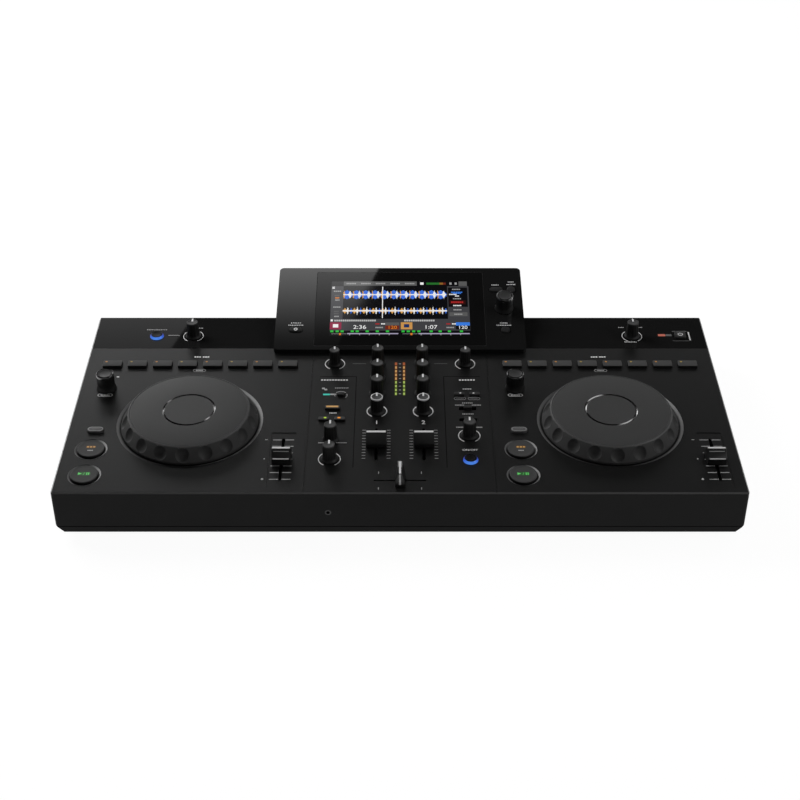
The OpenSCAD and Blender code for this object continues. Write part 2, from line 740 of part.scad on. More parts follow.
module bottom_case() {
    inner_cut = bottom_chamfer - wall * (2 - sqrt(2));
    color("#1b1b1b") difference() {
        union() {
            difference() {
                case_block(0, foot_h, case_top_z, bottom_chamfer, 0);
                case_block(wall, foot_h + wall, case_top_z + cut, inner_cut, 0);
            }
            at_screws() translate([0, 0, -case_h + wall / 2])
                cylinder(d = post_d, h = board_under_z + case_h - wall / 2);
        }
        at_screws() {
            translate([0, 0, -case_h - cut]) cylinder(d = screw_hole_d, h = case_h);
            translate([0, 0, -case_h - cut])
                cylinder(d = screw_head_d + 2 * fit_gap, h = head_seat_z + case_h + cut);
        }
        translate([-case_w / 2, front_y - cut, foot_h + seam_up])
            cube([case_w, seam_depth + cut, seam_w]);
        on_panel(-side_x, 0) translate([0, wall + cut, socket_drop]) rotate([90, 0, 0])
            cylinder(d = phones_collar_d + 2 * fit_gap, h = wall + 2 * cut);
        rear_holes();
    }
}

// Holes in the rear wall for the sockets
module rear_holes() {
    at_rear(-mic_socket_x) cylinder(d = mic_barrel_d + 2 * fit_gap, h = 2 * cut + wall);
    at_rear(inlet_x) cylinder(d = inlet_collar_d + 2 * fit_gap, h = 2 * cut + wall);
    for (side = [-1, 1]) {
        at_rear(output_x + side * output_pitch / 2)
            cylinder(d = output_barrel_d + 2 * fit_gap, h = 2 * cut + wall);
        at_rear(-stick_x + side * stick_pitch / 2) linear_extrude(2 * cut + wall)
            square([stick_w + 2 * stick_shell + 2 * fit_gap, stick_h + 2 * stick_shell + 2 * fit_gap],
                center = true);
    }
}

// Puts its children just inside the rear wall, looking out of the back
module at_rear(x) {
    on_panel(x, case_d - wall - cut) translate([0, 0, socket_drop]) rotate([-90, 0, 0]) children();
}

module top_panel() {
    color("#2f2f2f") difference() {
        union() {
            case_block(0, case_top_z, plate_z, 0, lip_chamfer);
            at_screws() translate([0, 0, board_z]) cylinder(d = post_d, h = board_drop + plate_t / 2);
        }
        at_screws() translate([0, 0, board_z - cut])
            cylinder(d = screw_hole_d, h = screw_bite + fit_gap + cut);
        strip_seat();
        deck_cuts();
        mixer_cuts();
        panel_holes();
    }
}

module strip_outline(gap) {
    d = strip_d - strip_rim;
    r = max(corner_r - strip_rim, least_r);
    on_panel(0, strip_v + d / 2)
        slab(case_w - 2 * strip_rim + 2 * gap, d + 2 * gap, r, -strip_t, cut);
}

module strip_seat() {
    strip_outline(0);
}

// Dishes, recesses and fields of the two decks
module deck_cuts() {
    ring_foot = transport_d / 2 + 2 * run_gap;
    for (deck = decks) {
        on_panel(deck[1], jog_v) {
            rotate_extrude($fn = 128)
                polygon([[0, -dish_depth], [dish_d / 2 - 2 * dish_depth, -dish_depth],
                    [dish_d / 2, 0], [dish_d / 2, cut], [0, cut]]);
            translate([0, 0, -plate_t - cut])
                cylinder(d = spindle_d + 2 * fit_gap, h = plate_t + 2 * cut);
        }
        on_panel(deck[1] + tempo_dx, tempo_v)
            slab(tempo_field_w, tempo_field_l, 2 * slot_r, -tempo_field_depth, cut);
        for (v = [play_v, cue_v])
            on_panel(deck[1] + column_dx, v) rotate_extrude()
                polygon([[0, -transport_ring_depth], [ring_foot, -transport_ring_depth],
                    [transport_ring_d / 2, 0], [transport_ring_d / 2, cut], [0, cut]]);
        for (pad = [0:pad_count - 1])
            on_panel(deck[1] + pad * pad_pitch - pad_span / 2, pad_v)
                slab(pad_w + 2 * run_gap, pad_d + 2 * run_gap, pad_r + run_gap, under_z - cut, cut);
    }
}

// Grooves and seats of the mixer
module mixer_cuts() {
    for (side = [-1, 1])
        on_panel(side * groove_x, strip_v / 2)
            translate([-groove_w / 2, -strip_v / 2 - cut, -groove_depth])
                cube([groove_w, strip_v + cut - face_gap, groove_depth + cut]);
    on_panel(side_x, effect_key_v) translate([0, 0, -light_ring_depth])
        cylinder(d = light_ring_d, h = light_ring_depth + cut);
}

// Holes through the main panel for every knob, key and slider
module panel_holes() {
    for (item = concat(knobs, encoders))
        on_panel(item[1], item[2]) translate([0, 0, under_z - cut])
            cylinder(d = shaft_d + 2 * run_gap, h = plate_t + 2 * cut);
    for (key = keys)
        on_panel(key[1], key[2])
            slab(key[3] + 2 * run_gap, key[4] + 2 * run_gap, key[5] + run_gap, under_z - cut, cut);
    for (fader = faders)
        on_panel(fader[1], fader[2]) rotate([0, 0, fader[4]])
            slab(stem_w + 2 * run_gap, fader[3] + stem_l + 2 * run_gap, slot_r, under_z - cut, cut);
    for (item = switches)
        on_panel(item[1], item[2]) slab(switch_slot_l, switch_slot_w, slot_r, under_z - cut, cut);
}

module rear_strip() {
    color("#121212") difference() {
        intersection() {
            strip_outline(-fit_gap);
            translate([-case_w, front_y, 0]) cube([2 * case_w, case_d, plate_z]);
        }
        panel_holes();
        on_panel(-mic_key_x, control_v) translate([0, 0, -light_ring_depth])
            cylinder(d = light_ring_d, h = light_ring_depth + cut);
        on_panel(power_key_x, control_v)
            slab(power_frame_w, power_frame_w, 2 * power_key_r, -light_ring_depth, cut);
    }
}

// Side section of the screen unit, from its front wall to its overhanging rear edge.
// The inset draws in its walls, and the depth sets its upper plane below the face.
module screen_section(inset, depth) {
    front = depth * sin(screen_tilt);
    rear = screen_l * cos(screen_tilt) + bezel_t * sin(screen_tilt);
    top_rise = tan(screen_tilt);
    low_rear = screen_front_h + screen_l * sin(screen_tilt) - screen_rear_h;
    slope = low_rear / (rear - screen_back);
    lift = inset * sqrt(1 + slope * slope);
    base = inset > 0 ? -cut : 0;
    bend = screen_back - (inset > 0 ? (lift - base) / slope : 0);
    top = screen_front_h - depth / cos(screen_tilt);
    polygon([[front + inset, base], [bend, base], [rear - inset, low_rear + lift - inset * slope],
        [rear - inset, top + (rear - inset) * top_rise],
        [front + inset, top + (front + inset) * top_rise]]);
}

module screen_prism(w, inset, depth) {
    on_panel(0, screen_v) translate([-w / 2, 0, 0]) rotate([90, 0, 90])
        linear_extrude(w) screen_section(inset, depth);
}

module screen_housing() {
    inner_w = screen_w - 2 * wall;
    color("#161616") difference() {
        intersection() {
            screen_prism(screen_w, 0, bezel_t);
            on_panel(0, screen_v + total_d / 2 - screen_v / 2)
                slab(screen_w, total_d - screen_v, screen_r, -cut, case_h);
        }
        screen_prism(inner_w, wall, -bezel_t);
    }
}

// Middle of the touch glass along the slope
glass_mid = glass_s + glass_l / 2;

module screen_bezel() {
    color("#101010") difference() {
        on_screen(0, screen_l / 2) slab(screen_w, screen_l, screen_r, -bezel_t, 0);
        on_screen(0, glass_mid)
            slab(glass_w + 2 * fit_gap, glass_l + 2 * fit_gap, glass_r + fit_gap, -bezel_t - cut, cut);
        for (key = screen_keys)
            on_screen(key[1], key[2])
                slab(key[3] + 2 * run_gap, key[4] + 2 * run_gap, key[4] / 2 + run_gap,
                    -bezel_t - cut, cut);
        on_screen(browse_x, browse_s) translate([0, 0, -bezel_t - cut])
            cylinder(d = shaft_d + 2 * run_gap, h = bezel_t + 2 * cut);
    }
}

module touch_display() {
    carrier_z = -bezel_t - carrier_t;
    color("#0c0f14") on_screen(0, glass_mid) {
        slab(glass_w, glass_l, glass_r, -bezel_t - carrier_t / 2, 0);
        slab(glass_w + 2 * carrier_lap, glass_l + 2 * carrier_lap, glass_r, carrier_z, -bezel_t);
        slab(module_w, module_l, glass_r, carrier_z - module_t, carrier_z + carrier_t / 2);
    }
}

module main_board() {
    inset = wall + board_gap;
    color("#1f5a3a") difference() {
        case_block(inset, plate_z + board_under_z, plate_z + board_z, 0, 0);
        at_screws() translate([0, 0, board_under_z - cut])
            cylinder(d = screw_hole_d, h = board_t + 2 * cut);
    }
}

// Body of a knob's turning control, hung below its panel
module pot_body(top, h) {
    difference() {
        translate([-pot_w / 2, -pot_w / 2, top - h]) cube([pot_w, pot_w, h]);
        translate([0, 0, top - shaft_bite - face_gap])
            cylinder(d = shaft_d + 2 * shaft_gap, h = shaft_bite + face_gap + cut);
    }
}

// Body of a fader with the groove that its stem runs in
module fader_body(travel) {
    length = travel + stem_l + 2 * fader_body_end;
    difference() {
        translate([-fader_body_w / 2, -length / 2, board_z])
            cube([fader_body_w, length, board_drop - face_gap]);
        slab(stem_w + 2 * run_gap, travel + stem_l + 2 * run_gap, slot_r,
            under_z - stem_bite - 2 * face_gap, under_z);
    }
}

// Housing of a key's switch, with the pocket that its flange moves in
module switch_box(w, d, r, top, h) {
    flange = key_flange + run_gap;
    difference() {
        slab(w + 2 * switch_rim, d + 2 * switch_rim, r + switch_rim, top - h, top);
        slab(w + 2 * flange, d + 2 * flange, r + flange, top - pocket_h, top + cut);
    }
}

module control_bodies() {
    color("#3a3f45") {
        for (item = concat(knobs, encoders)) on_panel(item[1], item[2]) pot_body(under_z, board_drop);
        on_screen(browse_x, browse_s) pot_body(-bezel_t, browse_body_h);
        for (fader = faders)
            on_panel(fader[1], fader[2]) rotate([0, 0, fader[4]]) fader_body(fader[3]);
        for (key = keys)
            on_panel(key[1], key[2]) switch_box(key[3], key[4], key[5], under_z, board_drop);
        for (key = screen_keys)
            on_screen(key[1], key[2])
                switch_box(key[3], key[4], key[4] / 2, -bezel_t, screen_switch_h);
        for (item = switches)
            on_panel(item[1], item[2])
                slab(switch_slot_l + 2 * switch_wall, switch_slot_w + 2 * switch_wall, slot_r,
                    board_z, under_z);
        for (deck = decks)
            on_panel(deck[1], pad_v)
                switch_box(pad_span + pad_w, pad_d, pad_r, under_z, board_drop);
    }
}

module sockets() {
    color("#2a2a2a") {
        phones_socket();
        mic_socket();
        power_inlet();
        for (side = [-1, 1]) {
            output_socket(output_x + side * output_pitch / 2);
            stick_socket(-stick_x + side * stick_pitch / 2);
        }
    }
}

module phones_socket() {
    on_panel(-side_x, 0) translate([0, 0, socket_drop]) difference() {
        union() {
            rotate([-90, 0, 0]) cylinder(d = phones_collar_d, h = wall + cut);
            translate([-phones_body_w / 2, wall, -socket_h / 2])
                cube([phones_body_w, phones_body_l, socket_h]);
        }
        translate([0, -cut, 0]) rotate([-90, 0, 0]) cylinder(d = phones_bore_d, h = phones_bore_l + cut);
    }
}

module mic_socket() {
    reach = cut + wall + collar_out;
    at_rear(-mic_socket_x) difference() {
        union() {
            cylinder(d = mic_barrel_d, h = reach);
            translate([0, 0, cut + wall]) cylinder(d = mic_collar_d, h = collar_out);
            socket_body(mic_body_w, mic_bore_l + wall);
        }
        translate([0, 0, reach - mic_bore_l]) cylinder(d = mic_bore_d, h = mic_bore_l + cut);
    }
}

// A socket's body, from the rear wall's inner face inwards
module socket_body(w, l) {
    translate([-w / 2, -socket_h / 2, cut - l]) cube([w, socket_h, l]);
}

module output_socket(x) {
    at_rear(x) difference() {
        union() {
            cylinder(d = output_barrel_d, h = cut + wall + output_out);
            translate([0, 0, cut + wall]) cylinder(d = output_ring_d, h = output_ring_t);
            socket_body(output_body_w, output_body_l);
        }
        translate([0, 0, cut + wall]) cylinder(d = output_hole_d, h = output_out + cut);
    }
}

module stick_socket(x) {
    shell_w = stick_w + 2 * stick_shell;
    shell_h = stick_h + 2 * stick_shell;
    at_rear(x) difference() {
        union() {
            translate([-shell_w / 2, -shell_h / 2, 0]) cube([shell_w, shell_h, cut + wall]);
            socket_body(shell_w + 2 * stick_shell, stick_l);
        }
        translate([-stick_w / 2, -stick_h / 2, cut + wall - stick_l])
            cube([stick_w, stick_h, stick_l + cut]);
    }
}

module power_inlet() {
    reach = cut + wall + collar_out;
    at_rear(inlet_x) {
        difference() {
            union() {
                cylinder(d = inlet_collar_d, h = reach);
                socket_body(inlet_body_w, inlet_bore_l + wall);
            }
            translate([0, 0, reach - inlet_bore_l]) cylinder(d = inlet_bore_d, h = inlet_bore_l + cut);
        }
        translate([0, 0, reach - inlet_bore_l - cut]) cylinder(d = inlet_pin_d, h = inlet_bore_l);
    }
}

module feet() {
    color("#0d0d0d")
        for (x = [-case_w / 2 + foot_inset, case_w / 2 - foot_inset])
            for (v = [foot_inset, case_d - foot_inset])
                on_panel(x, v) translate([0, 0, -plate_z]) cylinder(d = foot_d, h = foot_h);
}

module case_screws() {
    shank = board_z + screw_bite - head_seat_z;
    color("#8f9296") at_screws() translate([0, 0, head_seat_z]) {
        cylinder(d = screw_d, h = shank);
        difference() {
            translate([0, 0, -screw_head_h]) cylinder(d = screw_head_d, h = screw_head_h);
            translate([0, 0, -screw_head_h - cut])
                cylinder(d = screw_d * 2 / 3, h = screw_head_h / 2 + cut, $fn = 6);
        }
    }
}

module jog_spindles() {
    top = jog_h - jog_top_t - face_gap;
    color("#9a9da1")
        for (deck = decks) on_panel(deck[1], jog_v) {
            translate([0, 0, under_z - jog_top_t])
                cylinder(d = spindle_d, h = top - under_z + jog_top_t);
            translate([0, 0, -dish_depth]) cylinder(d = hub_d, h = flange_t);
        }
}

module jog_wheel(x) {
    base_r = jog_base_d / 2;
    rim_r = jog_rim_d / 2;
    band_z = jog_z + jog_band;
    roof_z = jog_h - jog_top_t;
    groove_side = jog_groove_w / 2;
    color("#3f3f3f") on_panel(x, jog_v) difference() {
        rotate_extrude($fn = 128)
            polygon([[0, jog_z], [base_r, jog_z], [base_r, band_z], [rim_r, jog_h - jog_rim_edge],
                [rim_r - jog_rim_edge, jog_h], [0, jog_h]]);
        rotate_extrude($fn = 128)
            polygon([[hub_d / 2, jog_z - cut], [base_r - jog_wall, jog_z - cut],
                [base_r - jog_wall, band_z], [rim_r - jog_wall, roof_z], [hub_d / 2, roof_z]]);
        translate([0, 0, jog_z - cut]) cylinder(d = hub_d + 2 * run_gap, h = jog_hub_z - jog_z + cut);
        translate([0, 0, jog_z - cut]) cylinder(d = spindle_d + 2 * shaft_gap, h = roof_z - jog_z + cut);
        for (step = [0:dimple_count - 1])
            rotate([0, 0, step * 360 / dimple_count - 90])
                translate([(base_r + rim_r) / 2 + dimple_out * cos(flank_angle), 0,
                    band_z + flank_rise / 2 + dimple_out * sin(flank_angle)])
                    sphere(dimple_r);
        rotate_extrude($fn = 128)
            translate([jog_groove_d / 2, jog_h])
                polygon([[-groove_side, 0], [0, -jog_groove_depth], [groove_side, 0],
                    [groove_side, cut], [-groove_side, cut]]);
        rotate_extrude($fn = 128)
            translate([rim_r - jog_seam_in, jog_h - jog_seam_depth])
                square([jog_seam_w, jog_seam_depth + cut]);
    }
}

// The eight pads of a deck, joined by the mat below the panel
module pad_row(x) {
    mat_w = pad_span + pad_w + 2 * key_flange;
    mat_top = under_z - face_gap;
    color("#404040") on_panel(x, pad_v) {
        slab(mat_w, pad_d + 2 * key_flange, pad_r + key_flange, mat_top - key_flange_t, mat_top);
        for (pad = [0:pad_count - 1])
            translate([pad * pad_pitch - pad_span / 2, 0, 0])
                slab(pad_w, pad_d, pad_r, mat_top - key_flange_t / 2, pad_h);
    }
}

// A fader cap on its stem, with its ridge across the travel
module fader(item) {
    w = item[5][0];
    half = item[5][1] / 2;
    h = item[5][2];
    ridge = item[5][3] / 2;
    lip = item[5][4];
    color("#191919") on_panel(item[1], item[2]) rotate([0, 0, item[4]]) {
        translate([-w / 2, 0, 0]) rotate([90, 0, 90]) linear_extrude(w)
            polygon([[-half, face_gap], [half, face_gap], [half, lip], [ridge, h], [-ridge, h],
                [-half, lip]]);
        translate([-stem_w / 2, -stem_l / 2, under_z - stem_bite])
            cube([stem_w, stem_l, plate_t + stem_bite + lip / 2]);
    }
}

// A knob with a skirt and a pointer groove, on its shaft
module knob(item) {
    top_r = item[3][0] / 2;
    skirt_r = item[3][1] / 2;
    h = item[3][2];
    color("#1a1a1a") on_panel(item[1], item[2]) difference() {
        rotate_extrude()
            polygon([[0, under_z - shaft_bite], [shaft_d / 2, under_z - shaft_bite],
                [shaft_d / 2, face_gap], [skirt_r, face_gap], [skirt_r, face_gap + skirt_edge],
                [top_r + knob_taper, skirt_h], [top_r, h - knob_edge], [top_r - knob_edge, h], [0, h]]);
        translate([-pointer_w / 2, top_r / 4, h - pointer_depth]) cube([pointer_w, top_r, h]);
    }
}

// An encoder with a dished top, on its shaft that enters its body below a panel
module encoder_form(under) {
    color("#181818") rotate_extrude()
        polygon([[0, under - shaft_bite], [shaft_d / 2, under - shaft_bite], [shaft_d / 2, face_gap],
            [encoder_d / 2, face_gap], [encoder_top_d / 2, encoder_h - knob_edge],
            [encoder_top_d / 2 - knob_edge, encoder_h],
            [encoder_top_d / 2 - encoder_rim, encoder_h],
            [encoder_top_d / 2 - encoder_rim, encoder_h - encoder_dish], [0, encoder_h - encoder_dish]]);
}

// A key that stands in its hole, with its retaining flange below the panel
module key_form(w, d, r, under, h) {
    flange_top = under - face_gap;
    slab(w, d, r, flange_top - key_flange_t / 2, h);
    slab(w + 2 * key_flange, d + 2 * key_flange, r + key_flange, flange_top - key_flange_t, flange_top);
}

// A slide switch's knob, with its foot that slides in the slot
module switch_knob(item) {
    color("#222222") on_panel(item[1], item[2])
        slab(switch_knob_l, switch_slot_w - 2 * run_gap, slot_r, under_z + face_gap, switch_knob_h);
}

bottom_case();
top_panel();
rear_strip();
screen_housing();
screen_bezel();
touch_display();
main_board();
control_bodies();
sockets();
feet();
case_screws();
jog_spindles();
for (deck = decks) {
    jog_wheel(deck[1]);
    pad_row(deck[1]);
}
for (item = faders)
    fader(item);
for (item = knobs)
    knob(item);
for (item = encoders)
    on_panel(item[1], item[2]) encoder_form(under_z);
on_screen(browse_x, browse_s) encoder_form(-bezel_t);  // browse_encoder
for (key = keys)
    color("#262626") on_panel(key[1], key[2]) key_form(key[3], key[4], key[5], under_z, key[6]);
for (key = screen_keys)
    color("#262626") on_screen(key[1], key[2])
            key_form(key[3], key[4], key[4] / 2, -bezel_t, screen_key_h);
for (item = switches)
    switch_knob(item);
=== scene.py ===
import bpy, bmesh, json, math
from mathutils import Matrix, Vector


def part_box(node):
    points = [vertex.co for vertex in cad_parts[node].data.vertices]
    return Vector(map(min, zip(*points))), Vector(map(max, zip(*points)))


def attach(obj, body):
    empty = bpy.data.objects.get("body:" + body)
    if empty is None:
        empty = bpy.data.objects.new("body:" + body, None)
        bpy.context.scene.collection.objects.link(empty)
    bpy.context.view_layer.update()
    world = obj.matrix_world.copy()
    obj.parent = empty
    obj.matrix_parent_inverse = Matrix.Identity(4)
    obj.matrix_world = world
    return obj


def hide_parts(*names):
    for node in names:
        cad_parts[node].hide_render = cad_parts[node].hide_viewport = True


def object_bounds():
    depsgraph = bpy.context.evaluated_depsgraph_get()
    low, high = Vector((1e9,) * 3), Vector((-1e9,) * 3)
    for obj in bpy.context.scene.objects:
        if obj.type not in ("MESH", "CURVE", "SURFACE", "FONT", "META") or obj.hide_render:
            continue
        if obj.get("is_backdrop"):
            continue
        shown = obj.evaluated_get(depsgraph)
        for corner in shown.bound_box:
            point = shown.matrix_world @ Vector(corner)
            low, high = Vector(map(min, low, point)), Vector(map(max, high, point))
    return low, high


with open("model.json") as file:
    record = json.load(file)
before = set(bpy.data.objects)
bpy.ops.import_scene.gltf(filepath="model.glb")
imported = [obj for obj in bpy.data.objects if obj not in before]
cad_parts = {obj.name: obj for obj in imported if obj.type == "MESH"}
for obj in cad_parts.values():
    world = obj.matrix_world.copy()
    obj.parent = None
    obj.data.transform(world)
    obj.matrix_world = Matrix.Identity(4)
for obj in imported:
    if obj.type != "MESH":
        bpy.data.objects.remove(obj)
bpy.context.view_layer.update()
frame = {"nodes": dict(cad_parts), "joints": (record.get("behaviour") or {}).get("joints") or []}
scene = bpy.context.scene
scene.view_settings.view_transform = "Standard"
mm = 0.001
sides = ("left", "right")
panelLow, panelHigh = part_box("top_panel")
panelTop, frontLine = panelHigh.z, panelLow.y
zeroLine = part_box("bottom_case")[0].y + 3 * mm  # printed places are counted from here
print("frame loaded,", len(frame["nodes"]), "nodes")

# sloping face of the screen unit, from the browse encoder's axis and the bezel's box
browse = next(j for j in frame["joints"] if j["child"] == "browse_encoder")
tilt = math.atan2(-browse["axis"][1], browse["axis"][2])
bezelLow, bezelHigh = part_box("screen_bezel")
bezelSpan = bezelHigh - bezelLow
bezelThick = (bezelSpan.z * math.cos(tilt) - bezelSpan.y * math.sin(tilt)) / math.cos(2 * tilt)
faceEdge = Matrix.Translation((0, bezelLow.y, bezelLow.z + bezelThick * math.cos(tilt)))
faceFrame = faceEdge @ Matrix.Rotation(tilt, 4, "X")
panelFrame = Matrix.Translation((0, zeroLine, panelTop))


def middle(node):
    return [(low + high) / 2 for low, high in zip(*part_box(node))]


def panelSpot(node):  # node's middle on the top panel
    return Matrix.Translation((*middle(node)[:2], panelTop))


def faceSpot(point):  # foot of a point on the sloping face
    local = faceFrame.inverted() @ Vector(point)
    return faceFrame @ Matrix.Translation((local.x, local.y, 0))


def printSpot(node):  # node's middle in printed places, millimetres
    x, y = middle(node)[:2]
    return x / mm, (y - zeroLine) / mm


def sizeOf(node):  # width, depth and height above the panel, millimetres
    low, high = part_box(node)
    return (high.x - low.x) / mm, (high.y - low.y) / mm, (high.z - panelTop) / mm


def newObject(name, data):
    made = bpy.data.objects.new(name, data)
    scene.collection.objects.link(made)
    return made


def meshFrom(name, bm):
    mesh = bpy.data.meshes.new(name)
    bm.to_mesh(mesh)
    bm.free()
    return mesh


# nodes: settings by name, then inputs in order, as values or as sockets to link
def feed(node, *fed, **settings):
    for key, value in [*settings.items(), *enumerate(fed)]:
        if isinstance(key, str) and hasattr(node, key):
            setattr(node, key, value)
            continue
        entry = node.inputs[key.replace("_", " ") if isinstance(key, str) else key]
        if isinstance(value, bpy.types.NodeSocket):
            node.id_data.links.new(value, entry)
        elif value is not None:
            entry.default_value = value
    return node


def addNode(tree, kind, *fed, **settings):
    return feed(tree.nodes.new(kind), *fed, **settings)


def wire(tree, kind, *fed, out=0, **settings):  # the same, for the socket it gives out
    return addNode(tree, kind, *fed, **settings).outputs[out]


def tone(level):  # a grey, or a colour as it stands
    return (*level, 1) if isinstance(level, tuple) else (level, level, level, 1)


def blend(tree, share, first, second, kind="MIX"):
    others = [None] * 5  # inputs of the other data types
    return wire(tree, "ShaderNodeMix", share, *others, first, second, data_type="RGBA", blend_type=kind, out=2)


def ramp(tree, share, stops):
    made = addNode(tree, "ShaderNodeValToRGB", share)
    bands = made.color_ramp.elements
    for place, level in stops:
        band = bands.new(place) if 0 < place < 1 else bands[-1 if place else 0]
        band.color = tone(level)
    return made.outputs[0]


def objectPlace(tree):
    return wire(tree, "ShaderNodeTexCoord", out="Object")


def heightOf(tree, place):
    return wire(tree, "ShaderNodeSeparateXYZ", place, out="Z")


# finishes
paints = {}
grainHeight = 0.0002
coatRough = 0.04
lensRough = 0.3
lensDim = 0.72


def newFinish(name):
    paints[name] = bpy.data.materials.new(name)
    paints[name].use_nodes = True
    tree = paints[name].node_tree
    return tree, tree.nodes["Principled BSDF"]


def moulded(name, dark, light, rough, grain, bump, gloss=0.5, coat=0, metal=0):
    tree, shader = newFinish(name)
    place = objectPlace(tree)
    fine = wire(tree, "ShaderNodeTexNoise", Vector=place, Scale=grain, Detail=3.0, Roughness=0.6)
    broad = wire(tree, "ShaderNodeTexNoise", Vector=place, Scale=14.0, Detail=4.0, Roughness=0.65)
    half = wire(tree, "ShaderNodeMath", broad, 0.5, operation="MULTIPLY")
    share = wire(tree, "ShaderNodeMath", fine, 0.5, half, operation="MULTIPLY_ADD")
    sheen = wire(tree, "ShaderNodeMapRange", broad, None, None, *rough)
    relief = wire(tree, "ShaderNodeBump", Strength=bump, Distance=grainHeight, Height=fine)
    feed(shader, Base_Color=blend(tree, share, tone(dark), tone(light)), Roughness=sheen, Normal=relief,
         Metallic=metal, Specular_IOR_Level=gloss, Coat_Weight=coat, Coat_Roughness=coatRough)


def lit(name, base, glow, strength):  # a light window: its glow varies a little over the lens
    tree, shader = newFinish(name)
    haze = wire(tree, "ShaderNodeTexNoise", Vector=objectPlace(tree), Scale=420.0, Detail=2.0)
    glowing = blend(tree, haze, tone(tuple(c * lensDim for c in glow)), tone(glow))
    feed(shader, Base_Color=tone(base), Emission_Color=glowing, Emission_Strength=strength, Roughness=lensRough)


# dark and light tone, roughness from and to, grain, bump, gloss, coat, metal
plastics = {
    "caseFinish": (0.0035, 0.0055, (0.5, 0.62), 2200, 0.2, 0.12),
    "panelFinish": (0.004, 0.006, (0.36, 0.44), 2600, 0.1, 0.3),
    "glossFinish": (0.01, 0.013, (0.015, 0.03), 900, 0.004),
    "glassFinish": (0.006, 0.008, (0.015, 0.03), 900, 0.002, 0.3),
    "slopeFinish": (0.4, 0.48, (0.45, 0.55), 2600, 0.06, 0.3),
    # painted highlight: the jog's rounded rim is coloured lighter than its top, a light line all round
    "rimFinish": (0.09, 0.11, (0.4, 0.5), 2400, 0.04, 0.3),
    # painted highlight: the panel's front lip bevel is coloured far lighter than the panel, a light line along the
    # front edge
    "lipFinish": (0.08, 0.1, (0.35, 0.45), 2400, 0.04, 0.4),
    "jogFinish": (0.047, 0.056, (0.46, 0.56), 2400, 0.1, 0.3),
    "jogSideFinish": (0.062, 0.073, (0.5, 0.6), 2200, 0.1, 0.12),
    "padFinish": (0.1, 0.12, (0.55, 0.7), 2000, 0.15, 0.2),
    "knobFinish": (0.007, 0.011, (0.45, 0.6), 2400, 0.12, 0.4),
    "knobTopFinish": (0.048, 0.058, (0.45, 0.55), 2400, 0.1, 0.3),
    "encoderFinish": (0.008, 0.012, (0.35, 0.5), 2000, 0.1, 0.4),
    "encoderRimFinish": (0.012, 0.018, (0.06, 0.1), 1500, 0.02, 1.0, 0.6),
    "encoderTopFinish": (0.03, 0.04, (0.4, 0.5), 2200, 0.08, 0.4),
    "faderFinish": (0.008, 0.013, (0.4, 0.5), 2200, 0.1, 0.4),
    "keyFinish": (0.088, 0.106, (0.5, 0.62), 2200, 0.12, 0.2),
    "shiftKeyFinish": (0.085, 0.11, (0.45, 0.55), 2200, 0.1, 0.3),
    "darkKeyFinish": (0.012, 0.018, (0.4, 0.5), 2200, 0.1, 0.4),
    "unitKeyFinish": (0.016, 0.022, (0.4, 0.5), 2200, 0.08, 0.3),
    "ringKeyFinish": (0.004, 0.007, (0.35, 0.45), 2200, 0.05, 0.12),
    "whiteInk": (0.8, 0.9, (0.5, 0.6), 3000, 0.03, 0.2),
    "greyInk": (0.44, 0.54, (0.5, 0.6), 3000, 0.03, 0.2),
    "dimInk": (0.13, 0.17, (0.5, 0.6), 3000, 0.03, 0.2),
    "darkInk": (0.0015, 0.0025, (0.7, 0.8), 3000, 0.03, 0.05),
    "faintInk": (0.014, 0.02, (0.4, 0.5), 3000, 0.03, 0.2),
    "ringPaint": (0.72, 0.82, (0.25, 0.35), 1800, 0.03, 0.6),
    "boardFinish": ((0.008, 0.06, 0.03), (0.012, 0.085, 0.045), (0.35, 0.5), 1500, 0.08),
    "bodyFinish": (0.035, 0.05, (0.4, 0.55), 1500, 0.08),
    "socketFinish": (0.012, 0.018, (0.4, 0.5), 1800, 0.1),
    "footFinish": (0.006, 0.01, (0.75, 0.9), 1500, 0.3, 0.2),
    "steelFinish": (0.42, 0.55, (0.28, 0.4), 900, 0.05, 0.5, 0, 1),
    "grooveFinish": (0.2, 0.26, (0.16, 0.22), 2400, 0.05, 0.5, 0, 1)}
# colour unlit, colour of the glow, strength
lights = {
    "greenLight": ((0.02, 0.12, 0.03), (0.18, 0.85, 0.2), 0.65),
    "greenHalo": ((0.025, 0.035, 0.025), (0.02, 0.3, 0.03), 0.22),
    "cueLight": ((0.12, 0.06, 0.01), (1.0, 0.58, 0.2), 0.45),
    "cueHalo": ((0.04, 0.03, 0.02), (0.6, 0.26, 0.02), 0.13),
    "padLight": ((0.12, 0.06, 0.01), (1.0, 0.42, 0.06), 0.4),
    "padLightToo": ((0.1, 0.08, 0.01), (0.85, 0.6, 0.1), 0.32),
    "redLight": ((0.2, 0.05, 0.04), (0.8, 0.2, 0.12), 0.4),
    "orangeLight": ((0.25, 0.1, 0.01), (1.0, 0.33, 0.01), 0.8),
    "limeLight": ((0.16, 0.2, 0.02), (0.5, 0.75, 0.04), 0.8),
    "tealLight": ((0.02, 0.2, 0.15), (0.05, 0.6, 0.5), 0.7),
    "blueLight": ((0.01, 0.015, 0.06), (1, 1, 1), 0.85),
    "dimRed": ((0.1, 0.02, 0.01), (0.9, 0.16, 0.06), 0.4),
    "dimAmber": ((0.05, 0.02, 0.005), (0.5, 0.14, 0.02), 0.5),
    "dimLime": ((0.02, 0.04, 0.005), (0.14, 0.2, 0.01), 0.6),
    "paleAmber": ((0.2, 0.12, 0.04), (0.95, 0.6, 0.2), 0.62),
    "paleLime": ((0.12, 0.2, 0.04), (0.7, 0.9, 0.22), 0.6),
    "waveBlue": ((0.01, 0.03, 0.2), (0.05, 0.2, 0.85), 0.85),
    "waveAmber": ((0.2, 0.1, 0.02), (0.9, 0.45, 0.1), 0.8),
    "waveWhite": ((0.3, 0.3, 0.3), (0.95, 0.95, 0.95), 0.85)}
